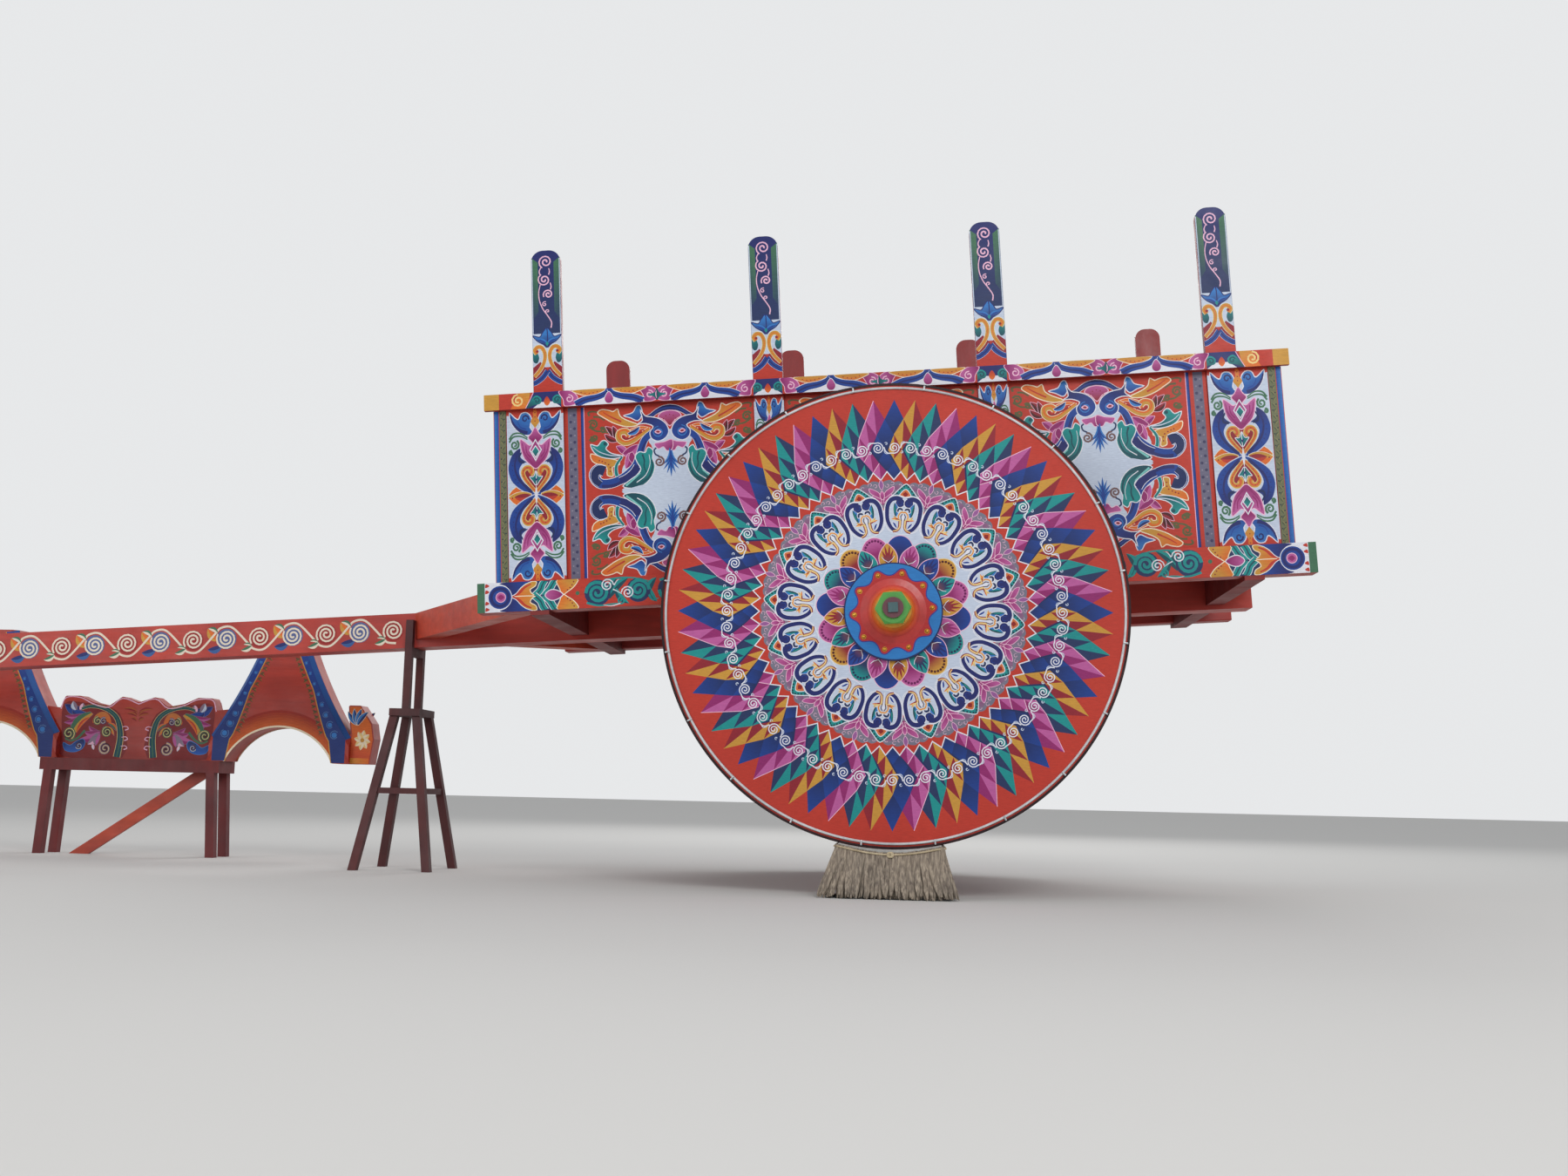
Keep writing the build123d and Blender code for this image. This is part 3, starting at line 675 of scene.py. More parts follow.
def totemMotif():
    # the tall upright figure, 3.34 wide and 9.1 high on its own grid, the same above and below its middle
    half = []
    leaf(half, (0.30, 0.06), (1.62, 0.06), 0.10, 0.74, "orange", "gold", "cream", 0.05)
    leaf(half, (0.30, 0.06), (1.30, 0.06), 0.04, 0.42, "red", "crimson")
    dot(half, 1.40, 0.10, 0.045, "crimson", 7)
    crescent = gridSpots("88 254, 124 236, 150 202, 164 142, 146 82, 108 44, 62 16, 0 -6, 20 22, 52 52, "
                         "84 92, 96 134, 76 168, 48 176, 72 192, 88 210")
    outlined(half, crescent, "blue", "paleBlue", 0.05, "navy", ((1.2, 1.5), (0.85, 2.2)))
    stroke(half, gridSpots("80 234, 98 204, 92 182, 66 178"), 0.26, "blueDeep", (0.3, 0.6))
    stroke(half, gridSpots("110 216, 124 160, 106 98, 62 50, 24 16"), 0.15, "navy", (0.5, 1.3))
    dotted(half, gridSpots("124 200, 138 150, 126 98, 98 62"), 0.035, "navy", 2, 4)
    outlined(half, gridSpots("150 444, 144 400, 110 350, 60 320, 8 330, 30 362, 20 408, 44 440, 80 438, "
                             "98 408, 120 418"), "sky", "white", 0.055, "blue", ((0.5, 4.3), (1.0, 3.4)))
    stroke(half, gridSpots("144 424, 128 384, 92 348, 46 332"), 0.20, "navy", (0.4, 1))
    stroke(half, gridSpots("104 398, 86 366, 52 352"), 0.07, "blue", (0.5, 1))
    band(half, coil(0.58, 4.08, 0.22, 1.1, 190, -1, 0.3, 9), 0.10, "navy", taper=(1, 0.6))
    for x, y, r, way in ((1.22, 2.72, 0.27, 1), (1.44, 2.30, 0.12, -1)):
        band(half, coil(x, y, r, 1.5, 120, way, 0.2, 9), 0.12, "green", taper=(1, 0.7))
    for lift in (0, 0.16):
        stroke(half, [(0.46, 2.98 + lift / 2), (0.86, 3.16 + lift), (1.30, 3.14 + lift),
                      (1.54, 2.86 + lift)], 0.11, "green", (0.6, 1))
    fill(half, gridSpots("0 10, 60 78, 64 130, 30 142, 0 144"), "crimson")
    heart = gridSpots("4 20, 34 52, 66 92, 76 124, 60 146, 34 144, 25 124, 36 114")
    stroke(half, heart, 0.38, "goldPale", (0.5, 0.9), steps=4)
    stroke(half, heart, 0.31, "gold", (0.5, 0.9), steps=4)
    stroke(half, heart, 0.13, "heartOrange", (0.6, 0.9), steps=4)
    dotted(half, heart[1:6], 0.030, "crimson", 3, 3)
    outlined(half, gridSpots("0 54, 20 74, 38 98, 20 98, 10 106, 0 128"), "teal", "white", 0.04, "tealDeep",
             ((0, 1.1), (0, 0.6)))
    upper = bothWays(half)
    bud = gridSpots("22 330, 42 308, 22 284")
    outlined(upper, [(0, 3.62)] + bud + [(0, 2.60)] + [(-x, y) for x, y in bud[::-1]], "magenta", "pinkPale",
             0.05, "pink", ((0, 3.0), (0, 3.5)))
    petal = gridSpots("34 164, 66 196, 84 244, 90 300, 60 284, 34 266")
    outlined(upper, [(0, 1.40)] + petal + [(0, 2.80)] + [(-x, y) for x, y in petal[::-1]], "pink",
             "pinkPale", 0.05, "magenta", ((0, 2.7), (0, 1.6)))
    for s in (-1, 1):
        for path in (gridSpots("78 280, 68 232, 42 194, 16 166"), gridSpots("56 266, 52 228, 30 202")):
            stroke(upper, [(s * x, y) for x, y in path], 0.085, "magenta", (0.5, 1))
    centre = gridSpots("0 294, 34 240, 0 184, -34 240")
    fill(upper, centre, "magenta", "pink", ((0, 2.9), (0, 2.2)))
    band(upper, centre, 0.055, "white", closed=True)
    fill(upper, gridSpots("0 266, 25 232, 0 196, -25 232"), "white")
    fill(upper, gridSpots("0 258, 19 232, 0 204, -19 232"), "teal", "tealDeep", ((0, 2.5), (0, 2.1)))
    fill(upper, gridSpots("0 86, 16 100, 0 72, -16 100"), "navy")
    blob(upper, gridSpots("0 466, 12 440, 10 420, 26 392, 12 372, 0 358, -12 372, -26 392, -10 420, "
                          "-12 440"), "gold", "orange", ((0, 3.7), (0, 4.6)))
    for y in (4.40, 4.16, 3.94):
        dot(upper, 0, y, 0.035, "crimson", 6)
    to = []
    box(to, -1.67, 1.67, -4.55, 4.55, "paleBlue")
    for sign in (1, -1):
        fill(to, [(x, y * sign) for x, y in gridSpots("-167 460, -167 430, -130 424, -95 400, -20 390, "
                                                      "0 360, 20 390, 95 400, 130 424, 167 430, 167 460")],
             "red")
    to += upper + placed(upper, tall=-1)
    fill(to, gridSpots("0 -56, 9 0, 0 56, -9 0"), "white")
    return to


def fieldMotif():
    # the wide scroll panel, 8.6 by 9.2 on its own grid, drawn for its upper right quarter and mirrored
    ground, quarter = [], []
    blob(ground, gridSpots("-20 -20, 250 -6, 230 30, 160 60, 110 130, 95 220, 115 270, 40 300, -20 300"),
         "paleBlue")
    blob(ground, gridSpots("262 90, 244 150, 190 140, 200 80"), "paleBlue")
    for x, y, r, way in ((4.12, 3.70, 0.27, 1), (4.06, 2.98, 0.19, -1), (3.60, 3.36, 0.17, 1)):
        band(quarter, coil(x, y, r, 1.5, 30, way, 0.2, 9), 0.12, "olive", taper=(1, 0.7))
    for path in (gridSpots("320 320, 370 330, 400 336, 434 360"),
                 gridSpots("370 430, 410 442, 436 436, 430 418"), gridSpots("390 290, 416 278, 434 290"),
                 gridSpots("350 390, 380 410, 410 412")):
        stroke(quarter, path, 0.12, "olive", (0.6, 1))
    for tip, bend, wide in (
            ((3.46, 3.56), 0.10, 0.34), ((3.06, 3.56), 0.04, 0.30), ((3.50, 3.14), -0.08, 0.30)):
        leaf(quarter, (2.86, 2.74), tip, bend, wide, "crimson", "maroon", "pinkPale", 0.05)
    outlined(quarter, gridSpots("386 430, 366 450, 326 444, 302 436, 278 448, 266 410, 230 384, 170 356, "
                                "230 348, 300 372, 346 400"), "gold", "cream", 0.055, "orange",
             ((2.4, 3.6), (3.5, 4.4)))
    stroke(quarter, gridSpots("356 434, 320 410, 260 378"), 0.10, "red", (0.4, 1))
    curl = smooth(gridSpots("110 330, 154 302, 200 270, 242 260, 274 282, 272 316, 240 324, 220 308"), False,
                  4)
    stroke(quarter, gridSpots("106 334, 160 340, 210 320, 234 300"), 0.40, "cream", (0.2, 1))
    stroke(quarter, gridSpots("110 334, 160 340, 210 320, 234 300"), 0.30, "orange", (0.2, 1))
    band(quarter, curl, 0.50, "cream", taper=(0.5, 0.8))
    band(quarter, curl, 0.40, "gold", taper=(0.5, 0.8))
    band(quarter, [(x, y + 0.08) for x, y in curl], 0.14, "orange", taper=(0.5, 0.9))
    stroke(quarter, gridSpots("150 316, 200 292, 240 280, 252 298"), 0.08, "crimson")
    dotted(quarter, gridSpots("130 328, 170 304, 210 284"), 0.04, "crimson", 2, 4)
    for base, tip, bend, wide, colour in (((2.36, 1.94), (2.90, 2.44), 0.08, 0.36, "pink"),
                                          ((2.50, 1.96), (1.74, 2.48), 0.10, 0.50, "pink"),
                                          ((2.16, 2.00), (2.42, 1.20), -0.06, 0.44, "pink"),
                                          ((2.10, 2.06), (1.92, 1.42), 0.06, 0.32, "magenta")):
        leaf(quarter, base, tip, bend, wide, colour, "magenta", "pinkPale", 0.05)
    outlined(quarter, gridSpots("428 210, 420 170, 378 146, 344 130, 342 90, 310 84, 314 130, 276 144, "
                                "284 166, 328 180, 382 196"), "gold", "cream", 0.05, "orange",
             ((3.2, 1.2), (4.2, 1.9)))
    dotted(quarter, gridSpots("326 100, 328 140, 360 162, 390 174"), 0.045, "crimson", 2, 4)
    outlined(quarter, gridSpots("254 190, 305 178, 370 190, 410 218, 428 262, 392 252, 370 276, 350 280, "
                                "332 258, 346 234, 313 206"), "teal", "white", 0.05, "tealDeep",
             ((3.7, 2.6), (3.3, 1.8)))
    dot(quarter, 3.50, 2.62, 0.10, "tealDeep", 9)
    stroke(quarter, gridSpots("416 248, 380 218, 320 196, 270 192"), 0.07, "paleBlue", (0.5, 1))
    scroll(quarter, gridSpots("260 186, 292 140, 292 90, 270 62"), 0.22, "teal", "white", "tealDeep",
           (0.5, 1), 0.13, 3)
    stem = gridSpots("92 312, 130 280, 149 245, 168 184, 187 135, 225 94, 275 60, 324 44, 374 44, 404 68, "
                     "410 100, 390 122, 362 112")
    scroll(quarter, stem, 0.58, "blue", "white", None, (0.56, 1.0), 0.07, 3)
    stroke(quarter, [(x - 0.02, y - 0.15) for x, y in stem[1:9]], 0.17, "navy", (0.5, 1.2))
    dotted(quarter, [(x, y + 0.09) for x, y in stem[5:9]], 0.05, "navy", 1, 4)
    scroll(quarter, gridSpots("380 42, 406 66, 408 100, 386 122, 356 112"), 0.54, "blueDeep", "white", None,
           (0.6, 1.0), 0.05, 3)
    scroll(quarter, gridSpots("274 54, 236 70, 200 98, 178 128"), 0.46, "navy", "white", None, (0.8, 0.9),
           0.08, 3)
    acanthus = gridSpots("115 230, 93 210, 98 170, 86 126, 104 70, 150 26, 214 12, 260 26, 214 62, 176 88, "
                         "162 116, 180 150, 190 184, 168 208, 137 202, 126 224")
    outlined(quarter, acanthus, "teal", "white", 0.05, "tealDeep", ((1.1, 1.6), (1.8, 0.3)))
    stroke(quarter, gridSpots("152 194, 142 160, 144 124, 130 90"), 0.10, "tealDeep", (1, 0.5))
    stroke(quarter, gridSpots("116 190, 112 140, 136 80, 186 42"), 0.05, "white", (0.5, 1))
    stroke(quarter, gridSpots("102 160, 100 120, 120 66, 166 36"), 0.09, "tealDeep")
    stroke(quarter, gridSpots("166 92, 200 62, 244 28"), 0.12, "tealPale", (0.5, 1))
    leaf(quarter, (2.24, 3.08), (1.62, 3.46), 0.10, 0.26, "sky", "navy", "white", 0.04)
    outlined(quarter, gridSpots("246 410, 198 424, 178 456, 156 460, 146 416, 170 378, 210 396"), "sky",
             "white", 0.05, "blue", ((1.8, 4.4), (1.7, 3.9)))
    scroll(quarter, gridSpots("-10 442, 34 438, 70 422, 106 398, 144 388"), 0.30, "navy", "white", "blue",
           (1, 0.6), 0.10, 3)
    outlined(quarter, gridSpots("156 436, 130 402, 92 394, 56 382, 22 354, 7 312, 26 276, 66 260, 100 278, "
                                "108 312, 90 342, 130 360, 172 360, 146 380"), "navy", "white", 0.05, "blue",
             ((1.2, 3.9), (0.4, 2.9)))
    band(quarter, coil(0.62, 3.10, 0.32, 1.1, 90, -1, 0.45, 12), 0.07, "sky", taper=(0.6, 1))
    blob(quarter, gridSpots("46 310, 64 324, 84 312, 64 300"), "pinkPale")
    blob(quarter, gridSpots("54 310, 64 318, 76 312, 64 305"), "crimson")
    outlined(quarter, gridSpots("-10 266, 30 256, 58 252, 86 246, 66 218, 38 228, 20 206, -10 216"), "pink",
             "pinkPale", 0.04, "magenta", ((0.3, 2.6), (0, 2.2)))
    for tipX, tipY, bend in ((0.0, 0.62, 0.0), (0.24, 0.80, -0.10), (0.44, 1.02, -0.16), (0.58, 1.26, -0.20)):
        leaf(quarter, (0.05, 2.20), (tipX, tipY), bend, 0.15, "sky", "blue")
    band(quarter, coil(0.62, 1.48, 0.28, 1.7, 80, 1, 0.15, 10), 0.105, "earth", taper=(1, 0.8))
    stroke(quarter, gridSpots("62 178, 82 190, 88 212, 76 224"), 0.085, "slate")
    upper = bothWays(ground) + bothWays(quarter)
    fan = gridSpots("-62 392, -44 416, 0 426, 44 416, 62 392, 30 374, 0 340, -30 374")
    outlined(upper, fan, "crimson", "pinkPale", 0.05, "pink", ((0, 3.5), (0, 4.2)))
    for i in range(-2, 3):
        dot(upper, 0.36 * sin(radians(i * 34)), 3.66 + 0.36 * cos(radians(i * 34)), 0.035, "crimson", 6)
    return upper, upper + placed(upper, tall=-1)


def stripShapes(to):
    # the ground, the blue edge and the leafy olive strip of the left end
    edge, near = board["panelX"][0], board["stakeX"][0] + board["stakeHalf"]
    low, high = board["panelZ"]
    box(to, edge, near, low, high, "red")
    box(to, edge + 0.004, edge + 0.036, low, high, "sky", "blue", ((edge, 0), (edge + 0.04, 0)))
    box(to, edge + 0.040, edge + 0.086, low, high, "stripOlive")
    box(to, edge + 0.086, edge + 0.090, low, high, "maroon")
    steps = 30
    for i in range(steps):
        z = low + (i + 0.5) * (high - low) / steps
        side = 1 if i % 2 else -1
        leaf(to, (edge + 0.063 - side * 0.005, z - 0.015), (edge + 0.063 + side * 0.017, z + 0.014),
             side * 0.004, 0.016, "stripLeaf", "stripMoss")
        dot(to, edge + 0.063 - side * 0.012, z + 0.004, 0.0055, "stripDot", 6)


def endShapes(totem):
    # everything at the level of the stakes' faces, for the left half of the side
    low, high = board["panelZ"]
    middle, tall = (low + high) / 2, (high - low) / 2 / grid["totemHalf"]
    to = []
    stripShapes(to)
    x0, x1 = board["panelX"][0] + board["strip"], board["stakeX"][0] + board["stakeHalf"]
    to += placed(totem, (x0 + x1) / 2, middle, size=(x1 - x0) / grid["totemWide"], tall=tall)
    to += placed(totem, board["stakeX"][1], middle, size=2 * board["stakeHalf"] / grid["totemWide"],
                 tall=tall)
    return to


def stakeMotif():
    # the stake's head above the rail; x across, y down from its top
    to = []
    half, tall, soft = board["stakeHalf"] - 0.0015, board["stakeTop"] - board["railZ"][1], board["stakeRound"]
    top = [(half - soft + soft * sin(a), -soft + soft * cos(a)) for a in (radians(15 * k) for k in range(7))]
    fill(to, [(-x, y) for x, y in top] + [(-half, -tall), (half, -tall)] + top[::-1], "navy", "slate",
         ((0, 0), (0, -0.6)))
    for s in (-1, 1):
        fill(to, [(s * half, -0.05), (s * 0.056, -0.085), (s * 0.056, -0.44), (s * half, -0.51)], "green",
             "slate", ((0, -0.30), (0, -0.51)))
        band(to, [(s * (half - 0.004), -0.06), (s * (half - 0.004), -tall)], 0.006, "paleBlue")
    line = 0.0108
    for x, y, r, turns, start, way in (
            (0.0, -0.082, 0.050, 1.75, -120, -1), (-0.012, -0.212, 0.046, 1.75, 120, 1),
            (0.014, -0.318, 0.036, 1.6, -150, -1), (-0.012, -0.388, 0.019, 1.2, 60, 1),
            (0.008, -0.440, 0.016, 1.1, -120, -1)):
        band(to, coil(x, y, r, turns, start, way, 0.12, 12), line if r > 0.03 else line * 0.7, "pinkPale",
             taper=(0.8, 1))
    for path in (spots("-30 -115, -46 -150, -40 -178"), spots("22 -130, 26 -155, 20 -176"),
                 spots("-40 -245, -52 -300, -48 -360, -26 -420, 10 -475, 34 -520, 30 -560"),
                 spots("30 -235, 36 -262, 30 -285")):
        stroke(to, path, line * 0.8, "pinkPale", (0.7, 1), steps=5)
    box(to, -half, half, -0.87, -0.60, "paleBlue")
    box(to, -half, half, -tall, -0.84, "red")
    part = []
    outlined(part, spots("0 -565, 30 -590, 52 -622, 98 -612, 70 -650, 28 -676, 0 -692"), "sky", "navy",
             0.007, "navy", ((0.04, -0.60), (0.02, -0.68)), steps=5)
    leaf(part, (0, -0.672), (0.074, -0.638), 0.010, 0.022, "sky", "blue")
    blob(part, spots("100 -700, 70 -735, 58 -775, 74 -810, 100 -790"), "teal", "tealDeep",
         ((0.10, -0.70), (0.07, -0.80)), steps=5)
    fill(part, spots("0 -860, 50 -800, 100 -840, 100 -930, 20 -900"), "crimson")
    scroll(part, spots("72 -742, 86 -716, 66 -694, 36 -702, 17 -745, 22 -800, 50 -855, 94 -905"), 0.030,
           "gold", "cream", "orange", (1.0, 0.75), 0.10)
    dot(part, 0.070, -0.724, 0.010, "crimson", 8)
    scroll(part, spots("0 -866, 34 -912, 78 -944, 104 -952"), 0.034, "blue", "paleBlue", "navy", (1, 1), 0.06)
    to += bothWays(part)
    fill(to, spots("0 -655, 12 -672, 0 -690, -12 -672"), "teal")
    fill(to, [(-half, -tall), (-half, -0.985), (-0.05, -0.962), (0, -0.925), (0.05, -0.962), (half, -0.985),
              (half, -tall)], "red")
    return within(to, (-half, half), (-tall, 0))


def railShapes():
    # the left half of the top rail, from its end block to the middle between the two inner stakes
    low, high = board["railZ"]
    centre = sum(board["railX"]) / 2
    to = []
    box(to, board["railX"][0], centre, low, high, "red")
    box(to, board["railX"][0], board["railX"][0] + 0.105, low, high, "gold")
    fill(to, [(-2.56, low), (-2.50, high), (-2.42, high), (-2.44, low)], "orange", "gold",
         ((-2.5, low), (-2.42, high)))
    band(to, coil(-2.506, low + 0.058, 0.046, 1.6, 90, 1, 0.2, 10), 0.012, "goldPale")
    for x in board["stakeX"][:2]:
        motif = []
        fill(motif, spots("-150 0, -94 111, 94 111, 150 0"), "navy")
        fill(motif, spots("-98 0, -44 40, 44 40, 98 0"), "white")
        part = []
        blob(part, spots("148 2, 118 50, 78 88, 40 66, 46 30, 90 20"), "teal", "tealDeep",
             ((0.08, 0.08), (0.10, 0.01)), steps=5)
        band(part, coil(0.070, 0.052, 0.023, 1.1, 20, 1, 0.25, 9), 0.009, "tealDeep")
        stroke(part, spots("150 2, 122 54, 94 110"), 0.005, "pinkPale", steps=5)
        motif += bothWays(part)
        blob(motif, spots("0 12, 22 40, 0 78, -22 40"), "orange", "red", ((0, 0.02), (0, 0.07)), steps=5)
        to += placed(motif, x, low)
    bay = []
    fill(bay, spots("100 0, 763 0, 763 111, 100 111"), "red")
    for x0, x1 in ((0.16, 0.43), (0.43, 0.72)):
        fill(bay, [(x0, 0), ((x0 + x1) / 2, 0.050), (x1, 0)], "white")
    fill(bay, spots("200 0, 431 85, 660 0"), "white")
    for x in (0.150, 0.706):
        outlined(bay, [(x - 0.066, 0.108), (x + 0.012, 0.109), (x + 0.062, 0.066), (x + 0.050, 0.014),
                       (x - 0.026, 0.003), (x - 0.038, 0.050)], "magenta", "pinkPale", 0.005, "pink",
                 ((x - 0.05, 0.05), (x + 0.05, 0.05)), steps=5)
        band(bay, coil(x + 0.006, 0.052, 0.030, 1.2, 100, -1, 0.3, 9), 0.008, "pinkPale")
    for x in (0.295, 0.572):
        outlined(bay, [(x - 0.112, 0.110), (x - 0.060, 0.076), (x, 0.064), (x + 0.060, 0.076),
                       (x + 0.112, 0.110)], "gold", "cream", 0.005, "orange", ((x, 0.11), (x, 0.06)),
                 steps=5)
        dotted(bay, [(x - 0.07, 0.096), (x, 0.080), (x + 0.07, 0.096)], 0.0042, "crimson", 2)
    swag = spots("198 6, 262 36, 350 52, 408 76, 431 111")
    for path in (swag, [(0.864 - x, y) for x, y in swag]):
        scroll(bay, path, 0.060, "blue", "white", "navy", (0.9, 0.5), 0.08)
    outlined(bay, spots("431 88, 462 42, 448 8, 414 8, 400 42"), "pink", "white", 0.004, "magenta",
             ((0.431, 0.08), (0.431, 0.01)), steps=5)
    blob(bay, spots("763 92, 745 62, 700 50, 742 32, 763 10"), "teal", "tealDeep",
         ((0.70, 0.05), (0.763, 0.05)), steps=5)
    to += placed(bay, board["stakeX"][0], low)
    to += placed(bay, board["stakeX"][1], low, flip=True) + placed(bay, board["stakeX"][1], low)
    return to


def sillShapes():
    # the left half of the sill board
    low, high = board["sillZ"]
    left, middle = board["sillX"][0], sum(board["sillX"]) / 2
    centre = (low + high) / 2
    to = []
    box(to, left, middle, low, high, "red")
    box(to, left, left + 0.052, low, high, "green")
    box(to, left + 0.052, left + 0.36, low, high, "white")
    for z in (0.020, 0.062, 0.140, 0.182):
        blob(to, [(left + 0.056, low + z - 0.012), (left + 0.085, low + z), (left + 0.060, low + z + 0.014)],
             "red", steps=5)
    x0 = left + 0.150
    part = []
    fill(part, spots("55 0, 420 0, 420 101, 200 101"), "red")
    fill(part, spots("200 0, 252 101, 402 101, 415 45, 437 0"), "slate")
    for path in (spots("306 -4, 346 36, 368 72, 388 104"), spots("240 -4, 283 36, 298 72, 318 104")):
        scroll(part, path, 0.042, "teal", "white", "tealDeep", (1, 1), 0.10, 3)
    outlined(part, spots("76 0, 114 18, 149 58, 190 88, 223 99, 258 96, 250 66, 214 44, 226 16, 238 0"),
             "gold", "cream", 0.006, "orange", ((0.21, 0.09), (0.12, 0.01)))
    stroke(part, spots("90 4, 142 28, 176 60, 222 82"), 0.024, "red", (1, 0.4))
    outlined(part, spots("0 92, 50 104, 223 104, 185 84, 150 58, 116 20, 78 6, 74 40, 45 74"), "navy",
             "white", 0.005, "blue", ((0.06, 0.06), (0.20, 0.10)))
    outlined(part, spots("437 0, 415 45, 402 104, 540 104, 518 52, 472 18"), "gold", "cream", 0.006,
             "orange", ((0.50, 0.08), (0.43, 0.02)))
    dotted(part, spots("520 94, 496 52, 462 22"), 0.0056, "crimson", 2, 4)
    lower = placed(part, tall=-1)
    to += placed(part, x0, centre) + placed(lower, x0, centre)
    dot(to, x0 + 0.006, centre, 0.084, "white", 24)
    dot(to, x0 + 0.006, centre, 0.079, "blue", 24)
    band(to, [(x0 + 0.006 + x, centre + y) for x, y in ringOf(0.060, 24)], 0.020, "navy", closed=True)
    dot(to, x0 + 0.012, centre, 0.036, "pinkPale", 16)
    dot(to, x0 + 0.012, centre, 0.031, "pink", 16)
    blob(to, [(x0 - 0.008, centre), (x0 + 0.012, centre + 0.018), (x0 + 0.036, centre),
              (x0 + 0.012, centre - 0.018)], "magenta", steps=5)
    outlined(to, [(x0 + 0.316, centre), (x0 + 0.350, centre + 0.034), (x0 + 0.396, centre + 0.032),
                  (x0 + 0.440, centre), (x0 + 0.396, centre - 0.032), (x0 + 0.350, centre - 0.034)], "pink",
             "white", 0.006, "magenta", ((x0 + 0.32, centre), (x0 + 0.41, centre)), steps=5)
    group = []
    for base, tip, bend, wide in (
            ((0.190, -0.040), (0.330, 0.092), 0.020, 0.056), ((0.200, 0.010), (0.250, 0.094), 0.012, 0.040),
            ((0.240, 0.020), (0.330, -0.084), -0.016, 0.046),
            ((0.460, -0.020), (0.520, 0.086), 0.016, 0.050),
            ((0.470, 0.010), (0.520, -0.080), -0.012, 0.044)):
        leaf(group, base, tip, bend, wide, "teal", "tealDeep")
    for x, y, r, turns, start, way, wide, colour in ((0.115, 0.0, 0.080, 2.1, 180, -1, 0.023, "teal"),
                                                     (0.395, 0.006, 0.074, 2.1, 0, 1, 0.023, "teal"),
                                                     (0.280, -0.062, 0.028, 1.4, 90, 1, 0.012, "teal")):
        if r > 0.05:
            dot(group, x, y, r * 1.12, "slate", 20)
        band(group, coil(x, y, r, turns, start, way, 0.12, 14), wide, colour, taper=(1, 0.8))
    for path in (spots("40 -66, 125 -88, 235 -80, 280 -86"), spots("165 84, 275 94, 370 88, 480 60"),
                 spots("465 -30, 490 -66, 530 -56")):
        stroke(group, path, 0.016, "teal", (1, 0.4), steps=5)
    for x, y, start, way in ((0.182, 0.048, 0, 1), (0.322, -0.008, 180, -1)):
        band(group, coil(x, y, 0.045, 1.9, start, way, 0.15, 12), 0.0095, "white", taper=(0.8, 1))
    for path in (spots("231 46, 242 66, 262 86"), spots("222 18, 250 4, 280 -16"),
                 spots("270 -80, 210 -94, 155 -86")):
        stroke(group, path, 0.008, "white", (1, 0.4), steps=5)
    start, pitch = x0 + 0.56, 0.50
    for k in range(4):
        to += placed(group, start + k * pitch, centre, tall=1 if k % 2 == 0 else -1)
    dot(to, start - 0.021, centre + 0.004, 0.014, "green", 10)
    return to


def panelShapes(field):
    # the panel between the first two stakes, and half a panel behind the wheel
    low, high = board["panelZ"]
    left, right = board["stakeX"][0] + board["stakeHalf"], board["stakeX"][1] - board["stakeHalf"]
    centre = sum(board["panelX"]) / 2
    to = []
    box(to, left + 0.001, right - 0.001, low, high, "red")
    box(to, left + 0.028, left + 0.092, low, high, "stripGrey")
    beads = 24
    for i in range(beads):
        z = low + 0.05 + i * (high - low - 0.1) / (beads - 1)
        dot(to, left + 0.06 - 0.013 * (-1) ** i, z, 0.011, "greyDeep", 7)
        dot(to, left + 0.06 + 0.014 * (-1) ** i, z, 0.006, "greyPale", 6)
    box(to, left + 0.118, left + 0.124, low, high, "navy")
    box(to, left + 0.124, left + 0.138, low, high, "blue")
    box(to, left + 0.138, left + 0.143, low, high, "pinkPale")
    x0, x1 = left + 0.160, right - 0.010
    to += placed(field, (x0 + x1) / 2, (low + high) / 2, size=(x1 - x0) / grid["fieldWide"],
                 tall=(high - low) / grid["fieldTall"])
    left, right = board["stakeX"][1] + board["stakeHalf"], centre
    box(to, left + 0.001, right, low, high, "red")
    to += placed(fieldTop, right, (low + high) / 2, size=(right - left - 0.02) / (grid["fieldWide"] / 2),
                 tall=(high - low) / grid["fieldTall"])
    return to


def poleShapes():
    # linked spirals along the pole; x along the level cart, y above the axle
    to = []
    centre, pitch, first, count = 0.247, 0.2636, -3.835, 20
    hugs = {1: spots("750 630, 170 965, -490 850, -850 490", 10000),
            -1: spots("80 -57, 20 -96, -45 -87, -83 -52")}
    wave = []
    for k in range(count):
        x, up = first - k * pitch, 1 if k % 2 else -1
        wave += [(x + dx, centre + dy) for dx, dy in hugs[up]]
        if up > 0:
            leaf(to, (x - 0.080, centre - 0.010), (x - 0.150, centre + 0.086), 0.010, 0.058, "gold", "orange")
            leaf(to, (x - 0.040, centre - 0.060), (x - 0.150, centre - 0.078), 0.014, 0.058, "poleLeaf",
                 "navy")
        dot(to, x, centre, 0.080, "poleBlue" if up > 0 else "poleRed", 20)
        turn = coil(x, centre, 0.080, 2.5, 150 if up > 0 else 215, up, 0.10, 14)
        band(to, turn, 0.0150, "polePale", taper=(0.9, 1))
    stroke(to, wave[1:], 0.0160, "polePale", steps=5)
    for k in range(count):
        x = first - k * pitch
        if k % 2 == 0:
            leaf(to, (x - 0.060, centre - 0.062), (x - 0.148, centre - 0.094), 0.012, 0.040, "polePale",
                 "green")
            leaf(to, (x - 0.065, centre - 0.058), (x - 0.128, centre - 0.050), -0.008, 0.022, "polePale",
                 "green")
        else:
            leaf(to, (x - 0.070, centre + 0.050), (x - 0.146, centre + 0.088), -0.012, 0.036, "polePale",
                 "green")
    return to


